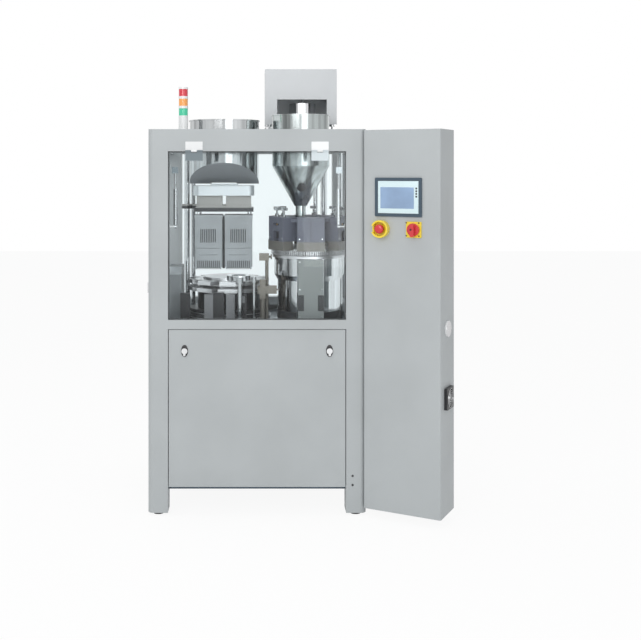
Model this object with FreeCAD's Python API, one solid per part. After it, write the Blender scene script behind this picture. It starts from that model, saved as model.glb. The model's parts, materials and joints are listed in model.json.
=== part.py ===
"""Automatic capsule filling machine, built as separate pieces.

A steel frame stands on four levelling feet. Its lower half is a panelled drive
base, its upper half a glazed working chamber. On the left a hopper feeds empty
capsules through a sorting magazine onto an indexing turret. On the right a cone
hopper feeds powder to a dosing bowl, where tamping rods press it into slugs.
A tall control cabinet hangs on hinges from the right front post.

Units are millimetres. +X is to the operator's right, -Y faces the operator and
+Z is up. Dimensions are written about the frame's middle line; every piece is
moved at the end so that the origin is the middle of the whole machine's base.
"""
import math
import os

import FreeCAD
import Part

V = FreeCAD.Vector

# ---- driving dimensions: frame --------------------------------------------
FRAME_WIDTH = 960.0
FRAME_DEPTH = 860.0
FRAME_HEIGHT = 1700.0
POST_SIZE = 88.0
POST_CORNER_RADIUS = 26.0
FOOT_HEIGHT = 12.0
FOOT_RADIUS = 24.0
TOP_BEAM_HEIGHT = 97.0
MID_BEAM_TOP = 860.0
MID_BEAM_HEIGHT = 40.0
BEAM_DEPTH = 50.0
TABLE_TOP = 800.0
TABLE_THICKNESS = 22.0
PAN_BOTTOM = 103.0
PAN_HEIGHT = 22.0
SHEET = 3.0
RUNNING_FIT = 0.05
SEAT_GAP = 0.3

# ---- driving dimensions: glazing ------------------------------------------
GLASS_THICKNESS = 6.0
HINGE_PLATE_WIDTH = 76.0
HINGE_PLATE_HEIGHT = 42.0
HINGE_CENTRE_X = 277.0
STRUT_INSET = 30.0
STRUT_LENGTH = 250.0
STRUT_TOP_DROP = 84.0
STRUT_CYLINDER_RADIUS = 9.0
STRUT_ROD_RADIUS = 4.0

# ---- driving dimensions: control cabinet ----------------------------------
CABINET_WIDTH = 350.0
CABINET_DEPTH = 185.0
CABINET_BOTTOM = 40.0
CABINET_TOP = 1695.0
CABINET_SWING = 28.0
CABINET_CORNER_X = 466.0
CABINET_FRONT_GAP = 16.0
CABINET_PIN_X = 488.0
CABINET_PIN_DEPTH = 40.0
SCREEN_WIDTH = 212.0
SCREEN_HEIGHT = 168.0

# ---- driving dimensions: capsule side --------------------------------------
CAPSULE_X = -156.0
CAPSULE_Y = -60.0
BOWL_RADIUS = 165.0
BOWL_ABOVE_ROOF = 55.0
TURRET_RADIUS = 190.0
TURRET_HEIGHT = 210.0
SEGMENT_COUNT = 10
MAGAZINE_WIDTH = 128.0
MAGAZINE_GAP = 12.0
MAGAZINE_HEIGHT = 259.0
MAGAZINE_ABOVE_TURRET = 48.0
MAGAZINE_TRAVEL = 8.0
CARRIER_HEIGHT = 25.0
CHUTE_HEIGHT = 58.0
CASING_HEIGHT = 46.0
NECK_HEIGHT = 9.0

# ---- driving dimensions: powder side ---------------------------------------
DOSING_X = 245.0
DOSING_Y = -100.0
CONE_X = 206.0
CONE_RADIUS = 135.0
CONE_HEIGHT = 187.0
CONE_ABOVE_ROOF = 79.0
CONE_OUTLET_RADIUS = 30.0
PIPE_RADIUS = 24.0
PIPE_SHOWN = 50.0
HEAD_RADIUS = 182.0
HEAD_HEIGHT = 111.0
CROWN_ROOM = 33.0
BAND_ABOVE_DISC = 24.0
TAMPING_TRAVEL = 9.0
DRUM_RADIUS = 165.0
DRUM_HEIGHT = 116.0
PEDESTAL_RADIUS = 148.0
PEDESTAL_HEIGHT = 209.0
HOUSING_ABOVE_ROOF = 42.0
HOUSING_HEIGHT = 270.0

# ---- worked-out places -------------------------------------------------------
HALF_W = FRAME_WIDTH / 2
HALF_D = FRAME_DEPTH / 2
FRONT = -HALF_D
INNER_X = HALF_W - POST_SIZE
INNER_Y = HALF_D - POST_SIZE
WINDOW_TOP = FRAME_HEIGHT - TOP_BEAM_HEIGHT
PAN_TOP = PAN_BOTTOM + PAN_HEIGHT
DOOR_TOP = MID_BEAM_TOP - MID_BEAM_HEIGHT
STRUT_X = INNER_X - STRUT_INSET
STRUT_TOP = WINDOW_TOP - STRUT_TOP_DROP
STRUT_FOOT = STRUT_TOP - STRUT_LENGTH
STRUT_Y = FRONT + 44.0
PIN_Y = FRONT + CABINET_PIN_DEPTH
TURRET_TOP = TABLE_TOP + TURRET_HEIGHT
MAGAZINE_BOTTOM = TURRET_TOP + MAGAZINE_ABOVE_TURRET
MAGAZINE_TOP = MAGAZINE_BOTTOM + MAGAZINE_HEIGHT
CARRIER_TOP = MAGAZINE_TOP + CARRIER_HEIGHT
CHUTE_BOTTOM = CARRIER_TOP + CHUTE_HEIGHT
CHUTE_TOP = CHUTE_BOTTOM + CASING_HEIGHT
BOWL_FLOOR = CHUTE_TOP + NECK_HEIGHT
BOWL_TOP = FRAME_HEIGHT + BOWL_ABOVE_ROOF
DRUM_BOTTOM = TABLE_TOP + PEDESTAL_HEIGHT
DISC_TOP = DRUM_BOTTOM + DRUM_HEIGHT
BAND_BOTTOM = DISC_TOP + BAND_ABOVE_DISC
BAND_HEIGHT = CROWN_ROOM + TAMPING_TRAVEL
HEAD_BOTTOM = BAND_BOTTOM + BAND_HEIGHT
HEAD_TOP = HEAD_BOTTOM + HEAD_HEIGHT
CONE_OUTLET = HEAD_TOP + PIPE_SHOWN
CONE_SHOULDER = CONE_OUTLET + CONE_HEIGHT
CONE_RIM = FRAME_HEIGHT + CONE_ABOVE_ROOF
HOUSING_BOTTOM = FRAME_HEIGHT + HOUSING_ABOVE_ROOF
HOUSING_TOP = HOUSING_BOTTOM + HOUSING_HEIGHT
HOUSING_X = CONE_X + 8.0
SEPARATOR_X = HOUSING_X + 12.0

nodes = {}


# ---- small makers ------------------------------------------------------------
def box(x0, x1, y0, y1, z0, z1):
    return Part.makeBox(x1 - x0, y1 - y0, z1 - z0, V(x0, y0, z0))


def cyl(radius, x, y, z0, z1):
    return Part.makeCylinder(radius, z1 - z0, V(x, y, z0))


def rod_x(radius, x0, x1, y, z):
    return Part.makeCylinder(radius, x1 - x0, V(x0, y, z), V(1, 0, 0))


def rod_y(radius, y0, y1, x, z):
    return Part.makeCylinder(radius, y1 - y0, V(x, y0, z), V(0, 1, 0))


def ring(outer, inner, x, y, z0, z1):
    return cyl(outer, x, y, z0, z1).cut(cyl(inner, x, y, z0 - 1, z1 + 1))


def revolve(profile, x, y):
    """A solid turned about a vertical line from (radius, height) points."""
    points = [V(r, 0, z) for r, z in profile]
    face = Part.Face(Part.makePolygon(points + [points[0]]))
    solid = face.revolve(V(0, 0, 0), V(0, 0, 1), 360)
    solid.translate(V(x, y, 0))
    return solid


def fuse(first, *others):
    return first.multiFuse(list(others)).removeSplitter()


def turned(shape, x, y, degrees):
    copy = shape.copy()
    copy.rotate(V(x, y, 0), V(0, 0, 1), degrees)
    return copy


def round_edges(solid, radius, wanted):
    """Fillets the edges for which wanted(edge) holds."""
    edges = [e for e in solid.Edges if wanted(e)]
    return solid.makeFillet(radius, edges) if edges else solid


def is_upright(edge):
    ends = edge.Vertexes
    return len(ends) == 2 and abs(ends[0].X - ends[1].X) < 1e-6 and abs(ends[0].Y - ends[1].Y) < 1e-6


def rounded_plate(x0, x1, y0, y1, z0, z1, radius):
    """A plate facing the operator, with its four corners rounded."""
    plate = box(x0, x1, y0, y1, z0, z1)
    along_y = [
        e for e in plate.Edges
        if abs(e.Vertexes[0].X - e.Vertexes[1].X) < 1e-6 and abs(e.Vertexes[0].Z - e.Vertexes[1].Z) < 1e-6
    ]
    return plate.makeFillet(radius, along_y)


def add(name, *solids):
    """Adds separate solids to a named piece."""
    nodes.setdefault(name, []).extend(solids)


# ---- frame --------------------------------------------------------------------
def corner_places():
    return [(sx, sy) for sx in (-1, 1) for sy in (-1, 1)]


def make_post(sx, sy):
    x0, x1 = sorted((sx * HALF_W, sx * INNER_X))
    y0, y1 = sorted((sy * HALF_D, sy * INNER_Y))
    post = box(x0, x1, y0, y1, FOOT_HEIGHT, FRAME_HEIGHT)
    outer = [
        e for e in post.Edges
        if is_upright(e) and abs(e.Vertexes[0].X - sx * HALF_W) < 1e-6
        and abs(e.Vertexes[0].Y - sy * HALF_D) < 1e-6
    ]
    post = post.makeFillet(POST_CORNER_RADIUS, outer)
    wall = 4.0
    return post.cut(box(x0 + wall * 2, x1 - wall * 2, y0 + wall * 2, y1 - wall * 2,
                        FOOT_HEIGHT + wall, FRAME_HEIGHT - wall))


def beam_ring(z0, z1, depth):
    front = box(-INNER_X, INNER_X, -HALF_D, -HALF_D + depth, z0, z1)
    back = box(-INNER_X, INNER_X, HALF_D - depth, HALF_D, z0, z1)
    left = box(-HALF_W, -HALF_W + depth, -INNER_Y, INNER_Y, z0, z1)
    right = box(HALF_W - depth, HALF_W, -INNER_Y, INNER_Y, z0, z1)
    return [front, back, left, right]


def make_frame():
    for (sx, sy) in corner_places():
        add("corner_posts", make_post(sx, sy))
    feet = []
    middle = POST_SIZE / 2
    for (sx, sy) in corner_places():
        x, y = sx * (HALF_W - middle), sy * (HALF_D - middle)
        feet.append(revolve([(0, 0), (FOOT_RADIUS, 0), (FOOT_RADIUS, 5), (14, FOOT_HEIGHT),
                             (0, FOOT_HEIGHT)], x, y))
    add("levelling_feet", *feet)
    add("cross_beams", *beam_ring(WINDOW_TOP, FRAME_HEIGHT, BEAM_DEPTH))
    add("cross_beams", *beam_ring(MID_BEAM_TOP - MID_BEAM_HEIGHT, MID_BEAM_TOP, BEAM_DEPTH))
    inner_x, inner_y = HALF_W - BEAM_DEPTH, HALF_D - BEAM_DEPTH
    table = box(-inner_x, inner_x, -inner_y, inner_y, TABLE_TOP - TABLE_THICKNESS, TABLE_TOP)
    pan = box(-inner_x, inner_x, -inner_y, inner_y, PAN_BOTTOM, PAN_TOP)
    ledge = []
    for (sx, sy) in corner_places():
        x0, x1 = sorted((sx * HALF_W, sx * INNER_X))
        y0, y1 = sorted((sy * HALF_D, sy * INNER_Y))
        notch = box(x0, x1, y0, y1, 0, FRAME_HEIGHT)
        table = table.cut(notch)
        pan = pan.cut(notch)
    for sx in (-1, 1):
        x0, x1 = sorted((sx * (inner_x - 40), sx * inner_x))
        ledge.append(box(x0, x1, -INNER_Y, INNER_Y, TABLE_TOP - TABLE_THICKNESS - 30,
                         TABLE_TOP - TABLE_THICKNESS))
    add("work_table", table)
    add("bottom_pan", pan)
    add("work_table", *ledge)


def make_panels():
    inner = MID_BEAM_TOP - MID_BEAM_HEIGHT
    side_in = 10.0
    panels = []
    for sx in (-1, 1):
        x0, x1 = sorted((sx * (HALF_W - side_in), sx * (HALF_W - side_in - SHEET)))
        panels.append(box(x0, x1, -INNER_Y, INNER_Y, PAN_BOTTOM, inner))
    y = HALF_D - side_in
    panels.append(box(-INNER_X, INNER_X, y - SHEET, y, PAN_BOTTOM, inner))
    add("base_panels", *panels[:2])
    add("base_panels", panels[2])


LATCH_X = 319.0
LATCH_DROP = 93.0
DOOR_GAP = 3.0
DOOR_FACE_INSET = 4.0
LATCH_SHAFT_RADIUS = 9.0


def make_lower_door():
    x = INNER_X - DOOR_GAP
    face = FRONT + DOOR_FACE_INSET
    bottom, top = PAN_TOP, DOOR_TOP - DOOR_GAP
    skin = box(-x, x, face, face + SHEET, bottom, top)
    lip = 22.0
    rim = box(-x, x, face + SHEET, face + lip, bottom, top).cut(
        box(-x + SHEET, x - SHEET, face, face + lip + 1, bottom + SHEET, top - SHEET))
    door = fuse(skin, rim)
    latch_z = top - LATCH_DROP
    for sx in (-1, 1):
        door = door.cut(rod_y(LATCH_SHAFT_RADIUS + RUNNING_FIT, face - 1, face + lip, sx * LATCH_X, latch_z))
    add("lower_door", door)
    for sx, side in ((-1, "left"), (1, "right")):
        knob = rod_y(13, face - 10, face - SEAT_GAP, sx * LATCH_X, latch_z)
        shaft = rod_y(LATCH_SHAFT_RADIUS, face - 2, face + 30, sx * LATCH_X, latch_z)
        grip = rounded_plate(sx * LATCH_X - 5, sx * LATCH_X + 5, face - 18, face - 8, latch_z - 20,
                             latch_z + 14, 4.0)
        pawl = box(sx * LATCH_X - 8, sx * LATCH_X + 8, face + 27, face + 31, latch_z - 10, top - 10)
        add(f"door_latch_{side}", fuse(knob, shaft, grip, pawl))
    hinge = box(-x + 30, x - 30, face + lip + 2, face + lip + 12, bottom, bottom + 26)
    add("base_panels", hinge)


# ---- glazing --------------------------------------------------------------------
WINDOW_GAP = 1.5
HANDLE_Z = 1000.0


def make_front_window():
    y0 = FRONT + 3
    x = INNER_X - WINDOW_GAP
    glass = box(-x, x, y0, y0 + GLASS_THICKNESS, MID_BEAM_TOP + WINDOW_GAP, WINDOW_TOP - WINDOW_GAP)
    add("front_window", glass)
    fixed, moving = [], []
    plate = 3.0
    half = HINGE_PLATE_WIDTH / 2
    barrel = 4.0
    for sx in (-1, 1):
        x0, x1 = sx * HINGE_CENTRE_X - half, sx * HINGE_CENTRE_X + half
        face = FRONT - SEAT_GAP
        fixed.append(rounded_plate(x0, x1, face - plate, face, WINDOW_TOP + 5,
                                   WINDOW_TOP + HINGE_PLATE_HEIGHT, 2.0))
        third = HINGE_PLATE_WIDTH / 3
        arm = box(x0 + third, x1 - third, face - plate, face, WINDOW_TOP - 1, WINDOW_TOP + 5.5)
        knuckle = rod_x(barrel, x0 + third, x1 - third, face - barrel - 1, WINDOW_TOP)
        fixed[-1] = fuse(fixed[-1], arm, knuckle)
        clamp = rounded_plate(x0, x1, face - plate, y0 - SEAT_GAP / 2, WINDOW_TOP - HINGE_PLATE_HEIGHT,
                              WINDOW_TOP - barrel - 2, 2.0)
        ears = [rod_x(barrel, a, b, face - barrel - 1, WINDOW_TOP)
                for a, b in ((x0, x0 + third - 1), (x1 - third + 1, x1))]
        tabs = [box(a, b, face - plate, face, WINDOW_TOP - barrel - 3, WINDOW_TOP - 1)
                for a, b in ((x0, x0 + third - 1), (x1 - third + 1, x1))]
        moving.append(fuse(clamp, *ears, *tabs))
    add("fixed_hinge_leaves", *fixed)
    add("window_clamps", *moving)


def make_struts():
    eye, mounts, cylinders, rods = 8.0, [], [], []
    rod_out = 84.0
    for sx in (-1, 1):
        x = sx * STRUT_X
        lower = cyl(STRUT_ROD_RADIUS, x, STRUT_Y, STRUT_FOOT + 40, STRUT_TOP - eye)
        tip = rod_x(eye, x - 5, x + 5, STRUT_Y, STRUT_TOP)
        rods.append(fuse(lower, tip))
        body = cyl(STRUT_CYLINDER_RADIUS, x, STRUT_Y, STRUT_FOOT + eye, STRUT_TOP - rod_out)
        body = body.cut(cyl(STRUT_ROD_RADIUS + RUNNING_FIT, x, STRUT_Y, STRUT_FOOT + eye + 12, STRUT_TOP))
        foot = rod_x(eye, x - 5, x + 5, STRUT_Y, STRUT_FOOT)
        foot = fuse(foot, body).cut(rod_x(3.5 + RUNNING_FIT, x - 6, x + 6, STRUT_Y, STRUT_FOOT))
        cylinders.append(foot)
        a, b = sorted((x - sx * 6, sx * (INNER_X + 1 - SEAT_GAP - 1)))
        stud = rod_x(3.5, a, b, STRUT_Y, STRUT_FOOT)
        flange = rod_x(13, *sorted((sx * (INNER_X - 5), sx * (INNER_X - SEAT_GAP))), STRUT_Y, STRUT_FOOT)
        mounts.append(fuse(stud, flange))
    add("strut_cylinders", *cylinders)
    add("strut_rods", *rods)
    add("fixed_hinge_leaves", *mounts)
    studs = []
    for sx in (-1, 1):
        x = sx * STRUT_X
        pad = box(x - 14, x + 14, FRONT + 3 + GLASS_THICKNESS + SEAT_GAP / 2, FRONT + 16, STRUT_TOP - 14,
                  STRUT_TOP + 14)
        a, b = sorted((x + sx * 6, x + sx * 14))
        arm = box(a, b, FRONT + 15, STRUT_Y + 8, STRUT_TOP - 8, STRUT_TOP + 8)
        studs.append(fuse(pad, arm))
    add("window_clamps", *studs)


DOOR_PIN_OUT = 4.0
DOOR_BARREL = 4.0


def make_left_hinges(edge):
    """Two barrel hinges at the rear edge of the left window."""
    pin_x = -HALF_W - DOOR_PIN_OUT
    pane = -HALF_W + 6 - SEAT_GAP / 2
    post = -HALF_W - SEAT_GAP / 2
    for z in (MID_BEAM_TOP + 120, WINDOW_TOP - 160):
        barrel = cyl(DOOR_BARREL, pin_x, edge, z + 21, z + 40)
        leaf = box(pane - 2.5, pane, edge - 36, edge - 4, z + 21, z + 40)
        link = box(pin_x, pane, edge - 6, edge - 3, z + 21, z + 40)
        moving = fuse(barrel, leaf, link).cut(cyl(2 + RUNNING_FIT, pin_x, edge, z, z + 41))
        add("left_window_fittings", moving)
        fixed = fuse(cyl(DOOR_BARREL, pin_x, edge, z, z + 20), cyl(2, pin_x, edge, z, z + 40),
                     box(post - 2.5, post, edge, edge + 34, z, z + 20))
        add("fixed_hinge_leaves", fixed)


def make_side_doors():
    z0, z1 = MID_BEAM_TOP + WINDOW_GAP, WINDOW_TOP - WINDOW_GAP
    y = INNER_Y - WINDOW_GAP
    for sx, side in ((-1, "left"), (1, "right")):
        x0, x1 = sorted((sx * (HALF_W - 6), sx * (HALF_W - 6 - GLASS_THICKNESS)))
        add("left_window" if side == "left" else "fixed_glazing", box(x0, x1, -y, y, z0, z1))
        if side == "right":
            continue
        face = sx * (HALF_W - 6 + SEAT_GAP / 2)
        a, b = sorted((face, face + sx * 12))
        base = rod_x(15, a, b, -y + 32, HANDLE_Z)
        c, d = sorted((face + sx * 10, face + sx * 20))
        grip = box(c, d, -y + 24, -y + 40, HANDLE_Z - 34, HANDLE_Z + 12)
        add("left_window_fittings", fuse(base, grip))
        make_left_hinges(y)
    rear = box(-(INNER_X - WINDOW_GAP), INNER_X - WINDOW_GAP, HALF_D - 6 - GLASS_THICKNESS, HALF_D - 6, z0,
               z1)
    add("fixed_glazing", rear)
    roof_z = FRAME_HEIGHT - 30
    roof = box(-(HALF_W - BEAM_DEPTH - WINDOW_GAP), HALF_W - BEAM_DEPTH - WINDOW_GAP,
               -(HALF_D - BEAM_DEPTH - WINDOW_GAP), HALF_D - BEAM_DEPTH - WINDOW_GAP, roof_z, roof_z + 8)
    for (sx, sy) in corner_places():
        x0, x1 = sorted((sx * HALF_W, sx * (INNER_X - 2)))
        y0, y1 = sorted((sy * HALF_D, sy * (INNER_Y - 2)))
        roof = roof.cut(box(x0, x1, y0, y1, 0, FRAME_HEIGHT + 1))
    roof = roof.cut(cyl(BOWL_RADIUS + 6, CAPSULE_X, CAPSULE_Y, 0, FRAME_HEIGHT))
    roof = roof.cut(cyl(CONE_RADIUS + 6, CONE_X, DOSING_Y, 0, FRAME_HEIGHT))
    add("fixed_glazing", roof)


# ---- control cabinet --------------------------------------------------------------
SCREEN_Z = 1403.0
BUTTON_Z = 1265.0


def cabinet_place(shape):
    """From cabinet axes (front left edge at the origin) to its place on the machine."""
    copy = shape.copy()
    copy.rotate(V(0, 0, 0), V(0, 0, 1), -CABINET_SWING)
    copy.translate(V(CABINET_CORNER_X, FRONT - CABINET_FRONT_GAP, 0))
    return copy


def add_cabinet(name, *solids):
    add(name, *[cabinet_place(s) for s in solids])


def make_cabinet():
    wall = 2.5
    w, d = CABINET_WIDTH, CABINET_DEPTH
    shell = box(0, w, 0, d, CABINET_BOTTOM, CABINET_TOP)
    shell = round_edges(shell, 8.0, lambda e: is_upright(e) and e.Vertexes[0].Y < 1)
    rear = 12.0
    shell = shell.cut(box(wall, w - wall, wall, d + 1, CABINET_BOTTOM + wall, CABINET_TOP - wall))
    screen_x, button_x, switch_x = 162.0, 84.0, 232.0
    shell = shell.cut(box(screen_x - SCREEN_WIDTH / 2 + 12, screen_x + SCREEN_WIDTH / 2 - 12, -1, wall + 1,
                          SCREEN_Z - SCREEN_HEIGHT / 2 + 12, SCREEN_Z + SCREEN_HEIGHT / 2 - 12))
    shell = shell.cut(rod_y(11 + RUNNING_FIT, -1, wall + 1, button_x, BUTTON_Z))
    shell = shell.cut(rod_y(6 + RUNNING_FIT, -1, wall + 1, switch_x, BUTTON_Z))
    fan_z, vent_z, fan_y = 542.0, 838.0, d / 2
    fan = 92.0
    shell = shell.cut(rod_x(fan / 2 - 6, w - wall - 1, w + 1, fan_y, fan_z))
    add_cabinet("cabinet_shell", shell)
    add_cabinet("cabinet_rear_door", box(wall + 1.5, w - wall - 1.5, d - rear, d - rear + SHEET,
                                         CABINET_BOTTOM + wall + 1.5, CABINET_TOP - wall - 1.5))
    rack = [box(30, w - 30, d - 50, d - 46, 200, 1150)]
    for row in range(4):
        z = 300 + row * 210
        for unit in range(5):
            x = 48 + unit * 52
            rack.append(box(x, x + 42, d - 110, d - 50, z, z + 110))
    for z in (220, 1130):
        rack.append(box(60, w - 60, wall, d - 50, z, z + 8))
    add_cabinet("electrical_rack", *rack)

    bezel = rounded_plate(screen_x - SCREEN_WIDTH / 2, screen_x + SCREEN_WIDTH / 2, -7, 0,
                          SCREEN_Z - SCREEN_HEIGHT / 2, SCREEN_Z + SCREEN_HEIGHT / 2, 4.0)
    lens_w, lens_h = SCREEN_WIDTH - 28, SCREEN_HEIGHT - 28
    pocket = box(screen_x - lens_w / 2, screen_x + lens_w / 2, -8, -4,
                 SCREEN_Z - lens_h / 2, SCREEN_Z + lens_h / 2)
    back = box(screen_x - SCREEN_WIDTH / 2 + 14, screen_x + SCREEN_WIDTH / 2 - 14, -0.5, 36,
               SCREEN_Z - SCREEN_HEIGHT / 2 + 14, SCREEN_Z + SCREEN_HEIGHT / 2 - 14)
    add_cabinet("screen_housing", fuse(bezel.cut(pocket), back))
    add_cabinet("screen_glass", box(screen_x - lens_w / 2 + SEAT_GAP, screen_x + lens_w / 2 - SEAT_GAP,
                                    -6.5, -4,
                                    SCREEN_Z - lens_h / 2 + SEAT_GAP, SCREEN_Z + lens_h / 2 - SEAT_GAP))

    guard = rod_y(38, -30, 0, button_x, BUTTON_Z).cut(rod_y(31, -31, -5, button_x, BUTTON_Z))
    guard = guard.cut(rod_y(11 + RUNNING_FIT, -31, 1, button_x, BUTTON_Z))
    notch = box(button_x - 50, button_x - 20, -31, -12, BUTTON_Z - 13, BUTTON_Z + 13)
    plate = rounded_plate(switch_x - 34, switch_x + 34, -6, 0, BUTTON_Z - 34, BUTTON_Z + 34, 3.0)
    plate = plate.cut(rod_y(6 + RUNNING_FIT, -7, 1, switch_x, BUTTON_Z))
    add_cabinet("stop_guard_and_switch_plate", guard.cut(notch), plate)
    stem = rod_y(11, -16, 30, button_x, BUTTON_Z)
    head = rod_y(20, -30, -14, button_x, BUTTON_Z)
    head = round_edges(head, 3.0, lambda e: len(e.Vertexes) == 1 and e.Vertexes[0].Y < -29)
    add_cabinet("stop_button", fuse(stem, head))
    dial = rod_y(27, -18, -6 - SEAT_GAP, switch_x, BUTTON_Z)
    grip = rounded_plate(switch_x - 9, switch_x + 9, -34, -17, BUTTON_Z - 30, BUTTON_Z + 24, 5.0)
    axle = rod_y(6, -8, 30, switch_x, BUTTON_Z)
    add_cabinet("main_switch_knob", fuse(dial, grip, axle))

    frame = rounded_plate(fan_y - fan / 2, fan_y + fan / 2, 0, 14, fan_z - fan / 2, fan_z + fan / 2, 5.0)
    frame = frame.cut(rod_y(fan / 2 - 5, -1, 15, fan_y, fan_z))
    spokes = [rounded_plate(fan_y - fan / 2 + 2, fan_y + fan / 2 - 2, 0, 2.5, fan_z - 3, fan_z + 3, 1.0),
              rounded_plate(fan_y - 3, fan_y + 3, 0, 2.5, fan_z - fan / 2 + 2, fan_z + fan / 2 - 2, 1.0)]
    spindle = rod_y(3, 0, 12, fan_y, fan_z)
    frame = fuse(frame, *spokes, spindle)
    hub = rod_y(14, 4, 12.5, fan_y, fan_z).cut(rod_y(3 + RUNNING_FIT, 3, 14, fan_y, fan_z))
    blades = []
    for n in range(7):
        blade = box(fan_y + 12, fan_y + fan / 2 - 7, 5, 7, fan_z - 9, fan_z + 9)
        blade.rotate(V(fan_y, 0, fan_z), V(0, 1, 0), n * 360 / 7)
        blades.append(blade)
    rotor = fuse(hub, *blades)
    vent = rod_y(34, -9, -SEAT_GAP, fan_y, vent_z)
    vent = round_edges(vent, 4.0, lambda e: len(e.Vertexes) == 1 and e.Vertexes[0].Y < -8)

    def to_side(shape):
        """Turns a piece made facing the operator onto the cabinet's right side."""
        copy = shape.copy()
        copy.rotate(V(0, 0, 0), V(0, 0, 1), 90)
        copy.translate(V(w, 0, 0))
        return copy

    def outward(shape):
        copy = shape.copy()
        copy.translate(V(0, -14 - SEAT_GAP, 0))
        return copy

    add_cabinet("fan_frame", to_side(outward(frame)))
    add_cabinet("fan_rotor", to_side(outward(rotor)))
    add_cabinet("cabinet_fittings", to_side(vent))
    make_cabinet_hinges()


def make_cabinet_hinges():
    post_side, cabinet_side = [], []
    pin = 3.5
    for z in (CABINET_BOTTOM + 120, (CABINET_BOTTOM + CABINET_TOP) / 2, CABINET_TOP - 160):
        knuckle = cyl(6, CABINET_PIN_X, PIN_Y, z, z + 30)
        leaf = box(HALF_W + SEAT_GAP, CABINET_PIN_X - 3, PIN_Y, PIN_Y + 34, z, z + 30)
        axle = cyl(pin, CABINET_PIN_X, PIN_Y, z, z + 62)
        post_side.append(fuse(leaf, knuckle, axle))
        upper = cyl(6, CABINET_PIN_X, PIN_Y, z + 31, z + 62)
        upper = upper.cut(cyl(pin + RUNNING_FIT, CABINET_PIN_X, PIN_Y, z + 30, z + 63))
        tab = cabinet_place(box(-3 - SEAT_GAP, -SEAT_GAP, 52, 90, z + 31, z + 62))
        tab = tab.cut(cyl(pin + RUNNING_FIT + 2, CABINET_PIN_X, PIN_Y, z + 30, z + 63))
        cabinet_side.append(fuse(upper, tab))
    add("cabinet_hinge_pins", *post_side)
    add("cabinet_fittings", *cabinet_side)


# ---- signal tower -------------------------------------------------------------------
TOWER_X = -341.0
TOWER_Y = -200.0
TOWER_RADIUS = 22.0


def make_tower():
    base = FRAME_HEIGHT - 22 + SEAT_GAP
    lens, gap = 33.0, 11.7
    z = base + 93
    white = [cyl(TOWER_RADIUS + 6, TOWER_X, TOWER_Y, base, base + 8),
             cyl(TOWER_RADIUS, TOWER_X, TOWER_Y, base + 8, z)]
    for colour in ("green", "amber", "red"):
        add("tower_lenses", cyl(TOWER_RADIUS - 1, TOWER_X, TOWER_Y, z, z + lens))
        ring_top = z + lens + gap if colour != "red" else z + lens + 9
        white.append(cyl(TOWER_RADIUS, TOWER_X, TOWER_Y, z + lens, ring_top))
        z += lens + gap
    stem = fuse(white[0], white[1])
    add("tower_body", stem, *white[2:])


# ---- capsule side ---------------------------------------------------------------------
def make_bowl():
    """Hopper for empty capsules: a cylinder whose floor rises to the front."""
    wall = 2.0
    front_floor = BOWL_FLOOR + 100
    body = cyl(BOWL_RADIUS, CAPSULE_X, CAPSULE_Y, BOWL_FLOOR, BOWL_TOP)
    inside = cyl(BOWL_RADIUS - wall, CAPSULE_X, CAPSULE_Y, BOWL_FLOOR + wall, BOWL_TOP + 1)

    def wedge(drop):
        """Everything under the two sloping floor plates, lowered by drop."""
        far = BOWL_RADIUS + 2
        outline = [V(0, -far, BOWL_FLOOR - 60), V(0, -far, front_floor - drop), V(0, 0, BOWL_FLOOR - drop),
                   V(0, far, front_floor - drop), V(0, far, BOWL_FLOOR - 60)]
        face = Part.Face(Part.makePolygon(outline + [outline[0]]))
        solid = face.extrude(V(2 * far, 0, 0))
        solid.translate(V(CAPSULE_X - far, CAPSULE_Y, 0))
        return solid
    body = body.cut(wedge(0))
    inside = inside.cut(wedge(-wall - 1))
    rim = ring(BOWL_RADIUS + 4, BOWL_RADIUS, CAPSULE_X, CAPSULE_Y, BOWL_TOP - 6, BOWL_TOP)
    outlet = box(CAPSULE_X - 60, CAPSULE_X + 60, CAPSULE_Y - 8, CAPSULE_Y + 8, BOWL_FLOOR - 10,
                 BOWL_FLOOR + 40)
    shell = fuse(body.cut(inside).cut(outlet), rim)
    lugs = [box(CAPSULE_X - 12 + sx * (BOWL_RADIUS + 12), CAPSULE_X + 12 + sx * (BOWL_RADIUS + 12),
                CAPSULE_Y - 16, CAPSULE_Y + 16, FRAME_HEIGHT - 22, FRAME_HEIGHT - 14) for sx in (-1, 1)]
    lugs = [fuse(lug, box(CAPSULE_X + sx * BOWL_RADIUS - 2, CAPSULE_X + sx * BOWL_RADIUS + 2, CAPSULE_Y - 16,
                          CAPSULE_Y + 16, FRAME_HEIGHT - 22, FRAME_HEIGHT + 6)) for lug, sx in zip(lugs,
                                                                                                   (-1, 1))]
    keep = cyl(BOWL_RADIUS - wall / 2, CAPSULE_X, CAPSULE_Y, 0, 3000)
    add("capsule_bowl", fuse(shell, *[lug.cut(keep) for lug in lugs]))


SHAFT_RADIUS = 10.0
SHAFT_X = 120.0


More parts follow.
